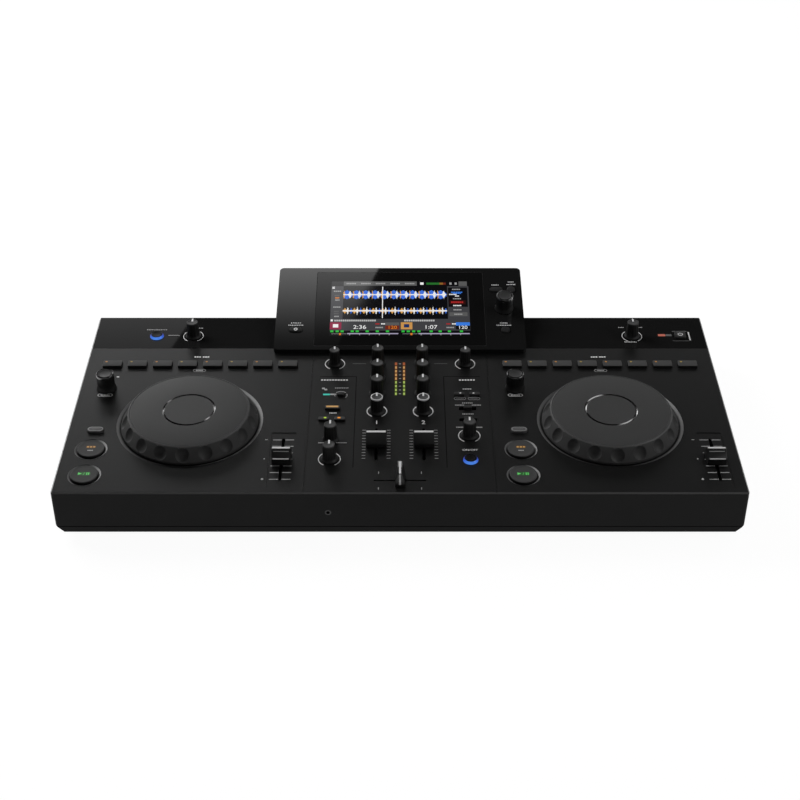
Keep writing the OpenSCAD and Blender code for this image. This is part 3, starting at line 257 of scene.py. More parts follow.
for build, table in ((moulded, plastics), (lit, lights)):
    for name, values in table.items():
        build(name, *values)


def tint(name, layer, socket="Base Color"):  # multiplies what already feeds the socket
    tree = paints[name].node_tree
    entry = tree.nodes["Principled BSDF"].inputs[socket]
    tree.links.new(blend(tree, 1, entry.links[0].from_socket, layer, "MULTIPLY"), entry)


def paintedLightByFacing(name, axis, span, stops, socket="Base Color"):  # painted light and shade: tone by the way a surface faces
    tree = paints[name].node_tree
    normal = wire(tree, "ShaderNodeNewGeometry", out="Normal")
    along = wire(tree, "ShaderNodeVectorMath", normal, axis, operation="DOT_PRODUCT", out="Value")
    share = wire(tree, "ShaderNodeMapRange", along, -span, span)
    tint(name, ramp(tree, share, stops), socket)


def paintedShadeByDepth(name, low, high):  # painted shade: black at one depth below the panel, full tone at the other
    tree = paints[name].node_tree
    depth = (panelTop - low * mm, panelTop - high * mm)
    tint(name, wire(tree, "ShaderNodeMapRange", heightOf(tree, objectPlace(tree)), *depth))


recessWallLightTones = [(0, 1.0), (0.2, 0.5), (0.42, 0.02), (0.6, 0.012), (0.8, 0.12), (1, 0.5)]
capHighlightShadeTones = [(0, 0.08), (0.55, 0.1), (0.72, 1.0), (0.92, 0.95), (0.98, 0.62), (1, 0.62)]
ringGlowByFacingTones = [(0, (0.09, 0.3, 0.98)), (0.3, (0.05, 0.16, 0.8)), (0.6, (0.03, 0.03, 0.3)), (1, (0.02, 0.015, 0.08))]
# painted light and shade on the recess walls: walls facing left painted brightest, walls facing right lighter, front
# and back walls dark
paintedLightByFacing("slopeFinish", (1, 0, 0), 0.45, recessWallLightTones)
# painted shade down the recess walls, black towards their foot
paintedShadeByDepth("slopeFinish", 1.9, 1.0)
# painted light on the rings' glow: bright blue on the side facing the front, dim violet on the side facing back
paintedLightByFacing("blueLight", (0, 1, 0), 0.9, ringGlowByFacingTones, "Emission Color")
for name in ("padFinish", "keyFinish"):  # painted highlight along the rounded edge, painted shade down the sides
    paintedLightByFacing(name, (0, 0, 1), 1.0, capHighlightShadeTones)

tree, shader = newFinish("pictureFinish")  # colours ride on the mesh, with a fine pixel raster
inked = wire(tree, "ShaderNodeAttribute", attribute_name="ink")
raster = wire(tree, "ShaderNodeTexChecker", objectPlace(tree), tone(1), tone(0.86), 5200.0)
feed(shader, Base_Color=tone(0.004), Emission_Color=blend(tree, 1, inked, raster, "MULTIPLY"), Emission_Strength=1,
     Roughness=0.06)
print("finishes made,", len(paints))


# mesh helpers, all in millimetres
printHigh = 0.06
sharpAngle = {"cad": 18, "cap": 30, "slider": 32, "block": 35, "print": 60}  # degrees, edges above it stay sharp


def outline(w, d, r, steps=5):  # rounded rectangle
    r = min(r, w / 2, d / 2)
    points = []
    for sx, sy, turn in ((1, 1, 0), (-1, 1, 90), (-1, -1, 180), (1, -1, 270)):
        for i in range(steps + 1):
            a = math.radians(turn + 90 * i / steps)
            points.append((sx * (w / 2 - r) + r * math.cos(a), sy * (d / 2 - r) + r * math.sin(a)))
    return points


def bridge(bm, low, high, finish):  # band of faces between two rings, a ring of one point being a tip
    count = max(len(low), len(high))
    for i in range(count):
        j = (i + 1) % count
        corners = (low[i % len(low)], low[j % len(low)], high[j % len(high)], high[i % len(high)])
        bm.faces.new(list(dict.fromkeys(corners))).material_index = finish


def loft(bm, rings, finish=0):  # joins closed rings of points, with end caps
    rows = [[bm.verts.new(p) for p in ring] for ring in rings]
    for low, high in zip(rows, rows[1:]):
        bridge(bm, low, high, finish)
    for cap in (rows[0][::-1], rows[-1]):
        bm.faces.new(cap).material_index = finish


def prism(bm, ring, low, high, finish=0):
    loft(bm, [[(x, y, z) for x, y in ring] for z in (low, high)], finish)


def block(bm, w, d, r, low, high, edge, dish=0, steps=5):  # rounded corners, rounded top edge
    levels = [(0, low), (0, high - edge)]
    levels += [(edge * (1 - math.cos(a)), high - edge + edge * math.sin(a)) for a in (0.5, 1.05, 1.5708)]
    if dish:
        levels += [(edge + 0.5, high), (edge + 1.4, high - dish * 0.7), (edge + 3, high - dish)]
    rings = []
    for inset, z in levels:
        ring = outline(w - 2 * inset, d - 2 * inset, max(r - inset, 0.05), steps)
        rings.append([(x, y, z) for x, y in ring])
    loft(bm, rings)


def lathe(bm, profile, steps):  # profile: radius, height and the finish of the band that ends there
    turns = [2 * math.pi * i / steps for i in range(steps)]
    rows = [[bm.verts.new((r * math.cos(a), r * math.sin(a), z)) for a in (turns if r else [0])]
            for r, z, *finish in profile]
    for low, high, (r, z, *finish) in zip(rows, rows[1:], profile[1:]):
        bridge(bm, low, high, *finish or [0])


def section(radius, height, points):  # points: inset and drop from a corner, finish
    return [(radius - inset, height - drop, *finish) for inset, drop, *finish in points]


def dash(bm, x, y, w, d, finish=0, low=0.0, high=printHigh, r=0.0):  # thin printed or lit patch
    ring = outline(w, d, r, 4) if r else [(w / 2, d / 2), (-w / 2, d / 2), (-w / 2, -d / 2), (w / 2, -d / 2)]
    prism(bm, [(x + px, y + py) for px, py in ring], low, high, finish)


def frameLine(bm, x, y, w, d, r, line, finish=0, high=printHigh):  # printed outline
    outer, inner = outline(w, d, r, 4), outline(w - 2 * line, d - 2 * line, max(r - line, 0.05), 4)
    rows = [[bm.verts.new((x + px, y + py, z)) for px, py in ring]
            for ring, z in ((outer, 0), (outer, high), (inner, high), (inner, 0))]
    for low, top in zip(rows, rows[1:] + rows[:1]):
        bridge(bm, low, top, finish)


def addPiece(name, bm, body, finishes, replaced, sharp):
    mesh = meshFrom(name, bm)
    if "custom_normal" in mesh.attributes:  # normals of the CAD's loose triangles
        mesh.attributes.remove(mesh.attributes["custom_normal"])
    for face in mesh.polygons:
        face.use_smooth = True
    mesh.set_sharp_from_angle(angle=math.radians(sharpAngle[sharp]))
    for finish in finishes.split():
        mesh.materials.append(paints[finish])
    piece = newObject(name, mesh)
    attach(piece, body)
    if replaced:
        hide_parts(*replaced)


def finishPiece(name, bm, place, body, finishes, replaced=(), sharp="block"):
    bmesh.ops.remove_doubles(bm, verts=bm.verts, dist=1e-4)
    bm.transform(place @ Matrix.Scale(mm, 4))
    bmesh.ops.recalc_face_normals(bm, faces=bm.faces)
    addPiece(name, bm, body, finishes, replaced, sharp)


def finishCap(node, bm, place, finishes, sharp="cap"):  # rides on its node's body, in the node's place
    finishPiece(node + "Cap", bm, place, node, finishes, [node], sharp)


# geometry node trees
def newTree(name, inputs):
    tree = bpy.data.node_groups.new(name, "GeometryNodeTree")
    for title, kind in inputs.items():
        tree.interface.new_socket(name=title, in_out="INPUT", socket_type="NodeSocket" + kind)
    tree.interface.new_socket(name="Geometry", in_out="OUTPUT", socket_type="NodeSocketGeometry")
    return tree, addNode(tree, "NodeGroupInput").outputs


def closeTree(tree, given, geometry):  # realize, set the finish, hand out
    real = wire(tree, "GeometryNodeRealizeInstances", geometry)
    painted = wire(tree, "GeometryNodeSetMaterial", Geometry=real, Material=given["Finish"])
    addNode(tree, "NodeGroupOutput", painted)
    return tree


def makeCopiesTree():  # copies of one small piece, in a row or round a ring
    tree, given = newTree("copiesOfPiece", {"Piece": "Object", "Count": "Int", "Start": "Vector", "Step": "Vector",
                                           "Turn": "Float", "Finish": "Material"})
    line = wire(tree, "GeometryNodeMeshLine", mode="OFFSET", Count=given["Count"], Start_Location=given["Start"],
                Offset=given["Step"])
    source = wire(tree, "GeometryNodeObjectInfo", Object=given["Piece"], out="Geometry")
    index = wire(tree, "GeometryNodeInputIndex")
    angle = wire(tree, "ShaderNodeMath", index, given["Turn"], operation="MULTIPLY")
    spin = wire(tree, "ShaderNodeCombineXYZ", Z=angle)
    copies = wire(tree, "GeometryNodeInstanceOnPoints", Points=line, Instance=source, Rotation=spin)
    return closeTree(tree, given, copies)


def makeArcTree():  # printed arc: a flat strip swept along part of a circle
    tree, given = newTree("printedArc", {"Radius": "Float", "From": "Float", "Sweep": "Float", "Width": "Float",
                                        "Thickness": "Float", "Finish": "Material"})
    path = wire(tree, "GeometryNodeCurveArc", mode="RADIUS", Resolution=40, Radius=given["Radius"],
                Start_Angle=given["From"], Sweep_Angle=given["Sweep"])
    strip = wire(tree, "GeometryNodeCurvePrimitiveQuadrilateral", mode="RECTANGLE", Width=given["Width"],
                 Height=given["Thickness"])
    sweep = wire(tree, "GeometryNodeCurveToMesh", Curve=path, Profile_Curve=strip, Fill_Caps=True)
    return closeTree(tree, given, sweep)


def makeWaveTree():  # bars of a sound wave: each beat peaks and falls away, with seeded noise
    tree, given = newTree("soundWave", {
        "Count": "Int", "Step": "Float", "Height": "Float", "Beat": "Float", "Peak": "Float", "Spread": "Float",
        "Floor": "Float", "Seed": "Float", "Finish": "Material"})

    def sums(operation, *terms):
        return wire(tree, "ShaderNodeMath", *terms, operation=operation)

    step = wire(tree, "ShaderNodeCombineXYZ", X=given["Step"])
    line = wire(tree, "GeometryNodeMeshLine", mode="OFFSET", Count=given["Count"], Offset=step)
    index = wire(tree, "GeometryNodeInputIndex")
    spot = wire(tree, "ShaderNodeCombineXYZ", X=index)
    noise = wire(tree, "ShaderNodeTexNoise", noise_dimensions="4D", Vector=spot, W=given["Seed"], Scale=0.9)
    phase = sums("FRACT", sums("DIVIDE", index, given["Beat"]))
    away = sums("ABSOLUTE", sums("SUBTRACT", phase, given["Peak"]))
    swell = sums("SUBTRACT", 1.0, sums("DIVIDE", away, given["Spread"]))
    ground = sums("MULTIPLY", noise, given["Floor"])
    tall = sums("MULTIPLY", sums("MAXIMUM", swell, ground), given["Height"])
    wide = sums("MULTIPLY", given["Step"], 0.92)
    size = wire(tree, "ShaderNodeCombineXYZ", wide, sums("MAXIMUM", tall, 0.02), printHigh)
    bar = wire(tree, "GeometryNodeMeshCube")
    copies = wire(tree, "GeometryNodeInstanceOnPoints", Points=line, Instance=bar, Scale=size)
    return closeTree(tree, given, copies)


copiesTree, arcTree, waveTree = makeCopiesTree(), makeArcTree(), makeWaveTree()
sourcePieces = []


def addMesh(bm, holder, finish, place):  # adds what the holder comes out as
    scene.view_layers[0].update()
    mesh = bpy.data.meshes.new_from_object(holder.evaluated_get(bpy.context.evaluated_depsgraph_get()))
    holder.modifiers.clear()
    bpy.data.objects.remove(holder)
    mesh.transform(place)
    first = len(bm.faces)
    bm.from_mesh(mesh)
    bpy.data.meshes.remove(mesh)
    bm.faces.ensure_lookup_table()
    for face in bm.faces[first:]:
        face.material_index = finish


def grow(bm, tree, values, index=0, place=Matrix()):  # runs a tree and adds its plain mesh to bm
    holder = newObject("holder", bpy.data.meshes.new("holder"))
    nodesStep = holder.modifiers.new("grow", "NODES")
    nodesStep.node_group = tree
    for item in tree.interface.items_tree:
        if item.in_out == "INPUT" and item.name in values:
            nodesStep[item.identifier] = values[item.name]
    addMesh(bm, holder, index, place)


def sourcePiece(name, build):  # small shape that the copies tree repeats
    bm = bmesh.new()
    build(bm)
    bmesh.ops.recalc_face_normals(bm, faces=bm.faces)
    sourcePieces.append(newObject(name, meshFrom(name, bm)))
    return sourcePieces[-1]


# finish by name, and its index among the piece's finishes
def row(bm, source, count, start, step, finish, index=0):
    values = {"Piece": source, "Count": count, "Start": start, "Step": step, "Finish": paints[finish]}
    grow(bm, copiesTree, values, index)


def ring(bm, source, count, finish, index=0):
    turn = 2 * math.pi / count
    grow(bm, copiesTree, {"Piece": source, "Count": count, "Turn": turn, "Finish": paints[finish]}, index)


def arc(bm, x, y, radius, start, sweep, width, finish, index=0, z=0.0):
    values = {"Radius": radius, "From": math.radians(start), "Sweep": math.radians(sweep), "Width": width,
              "Thickness": printHigh, "Finish": paints[finish]}
    grow(bm, arcTree, values, index, Matrix.Translation((x, y, z + printHigh / 2)))


def words(bm, text, size, x, y, thickness=0.04):  # plain numbers, as a closed mesh
    curve = bpy.data.curves.new("numbers", "FONT")
    curve.body, curve.size, curve.extrude = text, size, thickness / 2
    curve.align_x, curve.align_y = "CENTER", "CENTER"
    addMesh(bm, newObject("numbers", curve), 0, Matrix.Translation((x, y, thickness / 2)))


printSizes = {"letter": (1.9, 2.1), "smallLetter": (1.15, 1.4), "tick": (3.6, 0.55), "fineTick": (2.2, 1.1),
              "longTick": (8.8, 0.9)}
letter, smallLetter, tick, fineTick, longTick = [
    sourcePiece(name, lambda bm: dash(bm, 0, 0, *size)) for name, size in printSizes.items()]
print("node trees built")


# CAD nodes that keep their shape
def smoothCopy(node, finishes, slot, body="console", pick=None, trim=None, edges=None, width=0.0):
    bm = bmesh.new()
    bm.from_mesh(frame["nodes"][node].data)
    bmesh.ops.remove_doubles(bm, verts=bm.verts, dist=2e-6)
    if trim:
        trim(bm)
    if edges:
        picked = [e for e in bm.edges if len(e.link_faces) == 2 and e.calc_face_angle() > 0.4 and edges(e)]
        bmesh.ops.bevel(bm, geom=picked, offset=width, segments=3, profile=0.5, affect="EDGES", clamp_overlap=False)
    for face in bm.faces:
        face.material_index = pick(face) if pick else 0
    addPiece(node + "Skin", bm, body, finishes, [node], "cad")


def panelPart(face):  # front lip, front face, recess walls, rest
    front, up = -face.normal.y, face.normal.z
    if 0.1 < front < 0.97 and up > 0.1 and face.calc_center_median().y < frontLine + 1.5 * mm:
        return 3
    return 1 if front > 0.9 else 2 if 0.3 < up < 0.97 else 0


def panelEdge(edge):  # along the front, on top
    return all(v.co.y < frontLine + 0.05 * mm and v.co.z > panelTop - 0.05 * mm for v in edge.verts)


smoothCopy("bottom_case", "caseFinish", "case_plastic")
smoothCopy("top_panel", "panelFinish caseFinish slopeFinish lipFinish", "panel_paint", pick=panelPart,
           edges=panelEdge, width=0.6 * mm)
plainNodes = {"rear_strip": ("glossFinish", "gloss_trim"), "screen_housing": ("glossFinish", "gloss_trim"),
              "screen_bezel": ("glossFinish", "gloss_trim"), "touch_display": ("glassFinish", "screen_glass"),
              "feet": ("footFinish", "foot_rubber"), "sockets": ("socketFinish", "socket_plastic"),
              "case_screws": ("steelFinish", "steel"), "jog_spindles": ("steelFinish", "steel")}
for node, look in plainNodes.items():
    smoothCopy(node, *look)

jogMarks = {"groove": 25.5, "half": 1.25, "deep": 0.75, "narrow": 1.1, "crest": 0.2, "round": 0.3}
for side in sides:
    node = "jog_wheel_" + side
    hub = panelSpot(node).translation
    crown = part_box(node)[1].z

    def reach(point):
        return (point.xy - hub.xy).length / mm

    def wheelPart(face):  # groove on top, rounded rim, flank, rest
        spot, up = face.calc_center_median(), face.normal.z
        if spot.z > crown - 0.9 * mm and abs(reach(spot) - jogMarks["groove"]) < jogMarks["half"]:
            return 2
        if spot.z > crown - 1.5 * mm and 0.3 < up < 0.985:
            return 1
        return 3 if up < 0.8 else 0

    def fineGroove(bm):  # draws the CAD groove in to a finer one
        for v in bm.verts:
            off = reach(v.co) - jogMarks["groove"]
            if v.co.z < crown - 0.7 * mm or abs(off) > jogMarks["half"]:
                continue
            shift = 0 if abs(off) < jogMarks["crest"] else math.copysign(jogMarks["narrow"], off)
            v.co.xy = hub.xy + (v.co.xy - hub.xy).normalized() * (jogMarks["groove"] + shift) * mm
            v.co.z = max(v.co.z, crown - jogMarks["deep"] * mm)

    def wheelEdge(edge):  # outer edge of the top
        return all(v.co.z > crown - 0.02 * mm and reach(v.co) > 2 * jogMarks["groove"] for v in edge.verts)

    smoothCopy(node, "jogFinish rimFinish grooveFinish jogSideFinish", "jog_plastic", node, wheelPart, fineGroove,
               wheelEdge, jogMarks["round"] * mm)
for node, finish in (("main_board", "boardFinish"), ("control_bodies", "bodyFinish")):
    data = frame["nodes"][node].data
    data.materials.clear()
    data.materials.append(paints[finish])
print("casing dressed")

# knobs
knobShape = {"topShare": 0.718, "lobes": 12, "lobeDepth": 0.5, "flare": 0.8, "skirtEdge": 1.2, "skirtTop": 3.6,
             "pointer": 1.8, "shaft": 3.0, "shaftDown": -12.0, "seat": 0.35, "steps": 72,
             "top": [(0.05, 1.15), (0, 0.75, 1), (0.12, 0.35, 1), (0.5, 0.02, 1), (1.5, 0, 1), (1.7, 0.1, 1)]}
filterRing = {"wide": 1.1, "high": 0.04, "low": 1.5}
lobeSection = [(-1, -0.55), (-0.72, -0.12), (-0.35, 0.0), (0.35, 0.0), (0.72, -0.12), (1, -0.55)]


def knobLobe(bottom, top, low, high, count):
    half = math.pi / count * 0.92

    def build(bm):
        rings = []
        for r, z in ((bottom, low), (top, high)):
            corners = [(r + lift, a * half) for a, lift in lobeSection] + [(r - 1, half), (r - 1, -half)]
            rings.append([(far * math.cos(a), far * math.sin(a), z) for far, a in corners])
        loft(bm, rings)
    return build


def makeKnob(node):
    s = knobShape
    wide, tall = sizeOf(node)[::2]
    skirt, shaft, seat, down = wide / 2, s["shaft"], s["seat"], s["shaftDown"]
    core, edge, rise, pointer = s["lobeDepth"], s["skirtEdge"], s["skirtTop"], s["pointer"]
    top = skirt * s["topShare"]
    waist = top + s["flare"]
    bm = bmesh.new()
    profile = [(0, down), (shaft, down), (shaft, seat), (skirt - 0.35, seat), (skirt - 0.05, 0.55), (skirt, 0.85),
               (skirt - 0.2, edge)]
    for k in (0.25, 0.5, 0.75, 1.0):  # trumpet flare into the body
        profile.append((skirt - 0.2 + (waist - core - skirt + 0.2) * k, edge + (rise - edge) * k ** 2.2))
    profile += [(top - core + 0.15, tall - 1.3), *section(top, tall, s["top"]), (0, tall - 0.1, 1)]
    lathe(bm, profile, s["steps"])
    lobe = sourcePiece("knobLobe", knobLobe(waist - 0.1, top, rise - 0.6, tall - 1.0, s["lobes"]))
    ring(bm, lobe, s["lobes"], "knobFinish")
    dash(bm, 0, top * 0.62, pointer, top * 0.94, 2, tall - 0.2, tall, 0.3)
    dash(bm, 0, top + 0.1, pointer, 0.8, 2, tall - 4.5, tall - 0.1, 0.1)
    if node.startswith("filter"):  # silver ring round the top
        inner, crest, foot = top - filterRing["wide"], tall + filterRing["high"], tall - filterRing["low"]
        profile = [(inner, foot), (top + 0.06, foot), (top + 0.06, crest - 0.5), (top - 0.15, crest - 0.12),
                   (top - 0.45, crest), (inner + 0.2, crest), (inner, crest - 0.15), (inner, foot)]
        lathe(bm, [(r, z, 3) for r, z in profile], s["steps"])
    finishCap(node, bm, panelSpot(node), "knobFinish knobTopFinish whiteInk ringPaint")


knobNodes = sorted(n for n in frame["nodes"] if n.endswith("_knob") or "_knob_" in n)
for node in knobNodes:
    makeKnob(node)
print("knobs made,", len(knobNodes))

# encoders
encoderShape = {"top": 9.0, "unitTall": 19.5, "ribs": 40, "ribDepth": 0.28, "ribHalf": 0.32, "ribLow": 7.0,
                "rimWide": 1.1, "groove": 0.65, "grooveDeep": 0.9, "dish": 0.95, "shaft": 3, "shaftDown": -10,
                "seat": 0.35, "steps": 80,
                "rim": [(0, 2.9), (0, 1.0, 1), (0.15, 0.45, 1), (0.45, 0.12, 1), (0.7, 0, 1), (0.95, 0.1, 1)],
                "disc": [(0, 0.4, 2), (0.2, 0.12, 2), (0.5, 0.1, 2), (1.0, 0.4, 2), (2.4, 0.75, 2)]}


def makeEncoder(node, place, tall):
    s = encoderShape
    shaft, seat, down = s["shaft"], s["seat"], s["shaftDown"]
    foot, top, rib = sizeOf(node)[0] / 2, s["top"], s["ribDepth"]
    rim = top - s["rimWide"]
    disc = rim - s["groove"]
    floor = tall - s["grooveDeep"]
    bm = bmesh.new()
    profile = [(0, down), (shaft, down), (shaft, seat), (foot - 0.3, seat), (foot, 0.7), (foot - 0.06, 1.3)]
    for k in (0.2, 0.45, 0.7, 1.0):
        profile.append((foot - 0.06 + (top + 0.25 - rib - foot) * (1 - (1 - k) ** 2), 1.3 + 5.5 * k))
    profile += [(top - rib + 0.05, tall - 3.2), *section(top, tall, s["rim"]), (rim, tall - 0.35, 1),
                (rim - 0.05, floor), (disc + 0.05, floor), *section(disc, tall, s["disc"]), (0, tall - s["dish"], 2)]
    lathe(bm, profile, s["steps"])

    def build(source):
        half = s["ribHalf"]
        corners = [(-0.4, -half), (-0.06, -half), (0, 0), (-0.06, half), (-0.4, half)]
        ends = ((top + 0.15, s["ribLow"]), (top, tall - 3.1))
        loft(source, [[(r + dx, y, z) for dx, y in corners] for r, z in ends])

    ring(bm, sourcePiece("encoderRib", build), s["ribs"], "encoderFinish")
    finishCap(node, bm, place, "encoderFinish encoderRimFinish encoderTopFinish")


for side in sides:
    node = "deck_encoder_" + side
    makeEncoder(node, panelSpot(node), sizeOf(node)[2])
makeEncoder("browse_encoder", faceSpot(browse["pos_m"]), encoderShape["unitTall"])
print("encoders made")

# slider caps; front marks: place across and along, width, depth
sliderShape = {"ridge": 4.0, "endEdge": 0.45, "line": 1.9, "seat": 0.35,
               "tempo": {"lip": 7.4, "hollow": 2.3, "stem": 2.4, "front": [(0, -3.2, 15, 0.4), (0, -9.4, 15.5, 1.6)]},
               "channel": {"lip": 5.0, "hollow": 1.25, "stem": 2.4, "front": []},
               "cross": {"lip": 5.0, "hollow": 1.25, "stem": 1.2, "front": []}}


def makeSlider(node, kind):
    s, own = sliderShape, sliderShape[kind]
    w, l, tall = sizeOf(node)
    if kind == "cross":  # lies across the panel
        w, l = l, w
    half, ridge, end, line, seat = l / 2, s["ridge"] / 2, s["endEdge"], s["line"], s["seat"]
    lip, hollow = own["lip"], own["hollow"]
    profile = [(half - 0.3, seat), (half, 0.7), (half, lip - 0.4)]
    for k in (0, 0.1, 0.2, 0.35, 0.5, 0.65, 0.8, 0.9, 0.97):
        profile.append((half + (ridge - half) * k, lip + (tall - lip) * k ** hollow))
    profile.append((ridge - 0.25, tall - 0.02))
    profile = [(-y, z) for y, z in profile] + profile[::-1]
    bm = bmesh.new()
    ends = [(-w / 2, end), (-w / 2 + end * 0.35, end * 0.35), (-w / 2 + end, 0)]
    ends += [(-x, cut) for x, cut in ends[::-1]]
    loft(bm, [[(x, y * (1 - cut / half), seat + (z - seat) * (1 - cut / tall)) for y, z in profile]
              for x, cut in ends])
    block(bm, own["stem"], 5, 0.4, -9, 2, 0.1)
    dash(bm, 0, 0, w - 1.2, line, 1, tall - 0.3, tall + 0.01)
    if kind == "cross":
        dash(bm, -w / 2 - 0.02, 0, 0.1, line, 1, lip * 0.5, tall - 0.6)
        for y in (-1.6, 1.6):
            dash(bm, w / 4, y, w / 2 - 0.8, 0.5, 2, tall - 0.3, tall + 0.005)
    if kind == "channel":
        dash(bm, 0, -1.5, w - 1.2, 0.9, 2, tall - 0.3, tall + 0.005)
    for x, y, wide, deep in own["front"]:  # marks that lie on the front slope
        share = (y + half) / (half - ridge)
        z = lip + (tall - lip) * share ** hollow
        rise = (tall - lip) / (half - ridge) * hollow * share ** (hollow - 1)
        corners = [(x + sx * wide / 2, y + sy * deep / 2) for sx, sy in ((-1, -1), (1, -1), (1, 1), (-1, 1))]
        loft(bm, [[(px, py - lift * 0.7, z + (py - y) * rise + lift * 0.7) for px, py in corners]
                  for lift in (-0.3, 0.12)], 2)
    turn = Matrix.Rotation(math.radians(90 if kind == "cross" else 0), 4, "Z")
    finishCap(node, bm, panelSpot(node) @ turn, "faderFinish whiteInk greyInk", "slider")


for node, kind in (("tempo_slider_left", "tempo"), ("tempo_slider_right", "tempo"), ("channel_fader_1", "channel"),
                   ("channel_fader_2", "channel"), ("crossfader", "cross")):
    makeSlider(node, kind)
print("sliders made")

# keys
keyShape = {"round": {"edge": 0.8, "dish": 0.3, "steps": 16}, "small": {"edge": 0.45}, "down": -7.0}
markLow, markHigh = -0.1, 0.05  # lit marks go into the cap and stand out of it


def keySize(node, place):  # width, depth and height of a key above its face, without the hidden flange
    points = [place.inverted() @ v.co for v in frame["nodes"][node].data.vertices]
    seen = [p for p in points if p.z > 0]
    span = [max(abs(p[k]) for p in seen) * 2 / mm for k in (0, 1)]
    return span[0], span[1], max(p.z for p in seen) / mm


def makeKey(node, place, corner, finishes, marks=None, style="small"):
    w, d, tall = keySize(node, place)
    bm = bmesh.new()
    block(bm, w, d, corner or min(w, d) / 2, keyShape["down"], tall, **keyShape[style])
    if marks:
        marks(bm, tall - keyShape[style].get("dish", 0))
    finishCap(node, bm, place, finishes)


def mark(bm, z, x, y, w, d, r=0.0):
    dash(bm, x, y, w, d, 1, z + markLow, z + markHigh, r)


def arrow(bm, z, x, y, size, flip=1):
    corners = [(x - flip * size / 2, y - size / 2), (x + flip * size / 2, y), (x - flip * size / 2, y + size / 2)]
    prism(bm, corners, z + markLow, z + markHigh, 1)


def playMarks(bm, z):
    dash(bm, 0.3, 0.4, 11.6, 5.0, 2, z + markLow, z + 0.02, 1.8)
    arrow(bm, z, -4.0, 0.4, 3.8)
    prism(bm, [(-0.9, -1.4), (-0.5, -1.4), (0.6, 2.2), (0.2, 2.2)], z + markLow, z + markHigh, 1)
    for x in (2.6, 4.4):
        mark(bm, z, x, 0.4, 1.0, 3.6)


def cueMarks(bm, z):
    dash(bm, 0, 2.2, 9.6, 3.6, 3, z + markLow, z + 0.015, 1.4)
    row(bm, letter, 3, (-3.1, 2.2, z - 0.02), (3.1, 0, 0), "cueLight", 1)
    row(bm, smallLetter, 4, (-2.1, -3.4, z - 0.02), (1.4, 0, 0), "greyInk", 2)


def shiftMarks(bm, z):
    row(bm, smallLetter, 5, (-3.2, 0, z - 0.02), (1.6, 0, 0), "dimInk", 1)
    frameLine(bm, 0, 0, 14.6, 6.2, 3.1, 0.35, 2, z + 0.04)


def powerMark(bm, z):
    arc(bm, 0, 0, 2.4, 125, 290, 0.8, "whiteInk", 1, z)
    dash(bm, 0, 1.9, 0.8, 2.4, 1, z, z + printHigh)


def gearMark(bm, z):  # plain ring with a dark middle
    arc(bm, 0, 0, 1.6, 0, 359, 1.1, "whiteInk", 1, z)


deckKeys = {"play_key_": ("keyFinish greenLight greenHalo", playMarks, "round"),
            "cue_key_": ("keyFinish cueLight greyInk cueHalo", cueMarks, "round"),
            "shift_key_": ("shiftKeyFinish dimInk greyInk", shiftMarks)}
for side in sides:
    for start, look in deckKeys.items():
        makeKey(start + side, panelSpot(start + side), 0, *look)
panelKeys = {  # corner, 0 for fully round ends; finishes; marks
    "link_key": (0, "darkKeyFinish greyInk"),
    "master_cue_key": (1, "keyFinish cueLight", lambda bm, z: mark(bm, z, 0, 0.4, 12.4, 2.6, 0.5)),
    "phones_cue_key_1": (1, "keyFinish limeLight", lambda bm, z: mark(bm, z, 1.4, 0.3, 2.6, 2.0, 0.5)),
    "phones_cue_key_2": (1, "keyFinish orangeLight", lambda bm, z: mark(bm, z, -0.6, 0.3, 3.0, 2.0, 0.5)),
    "beat_down_key": (1, "darkKeyFinish whiteInk", lambda bm, z: arrow(bm, z, 0.8, 0.2, 2.4, -1)),
    "beat_up_key": (1, "darkKeyFinish whiteInk", lambda bm, z: arrow(bm, z, -0.8, 0.2, 2.4)),
    "power_key": (1.2, "darkKeyFinish whiteInk", powerMark),
    "effect_key": (0, "ringKeyFinish", None, "round"), "mic_key": (0, "ringKeyFinish", None, "round")}
for node, look in panelKeys.items():
    makeKey(node, panelSpot(node), *look)
for node, marks in (("settings_key", gearMark), ("back_key", None), ("tag_key", None), ("deck_key", None)):
    makeKey(node, faceSpot(middle(node)), 0, "unitKeyFinish whiteInk", marks)
for node in ("effect_select_switch", "effect_channel_switch"):
    w, d, tall = sizeOf(node)
    bm = bmesh.new()
    block(bm, w, d, 0.8, -3.5, tall, 0.4)
    for x in (-1.6, 0, 1.6):
        dash(bm, x, 0, 0.5, d - 1.0, 0, tall - 0.1, tall + 0.01)
    finishCap(node, bm, panelSpot(node), "darkKeyFinish", "block")
print("keys made")

# pads
padShape = {"count": 8, "width": 20.0, "depth": 10.3, "corner": 1.2, "edge": 0.55, "down": -5, "flange": 2.0}
padMark = {"x": -6.6, "y": 2.4, "w": 2.2, "d": 1.8, "r": 0.8}
for side in sides:
    s = padShape
    node = "pad_row_" + side
    long, tall = sizeOf(node)[::2]
    pitch = (long - s["flange"] - s["width"]) / (s["count"] - 1)
    first = -pitch * (s["count"] - 1) / 2
    bm = bmesh.new()
    pad = sourcePiece("onePad", lambda b: block(b, s["width"], s["depth"], s["corner"], s["down"], tall, s["edge"]))
    row(bm, pad, s["count"], (first, 0, 0), (pitch, 0, 0), "padFinish")
    lamp = sourcePiece("oneMark", lambda b: dash(b, low=tall - 0.1, high=tall + 0.01, **padMark))
    for k, light in enumerate(("padLight", "padLightToo")):
        row(bm, lamp, s["count"] // 2, (first + k * pitch, 0, 0), (2 * pitch, 0, 0), light, k + 1)
    finishPiece(node + "Pads", bm, panelSpot(node), node, "padFinish padLight padLightToo", [node])
print("pads made")

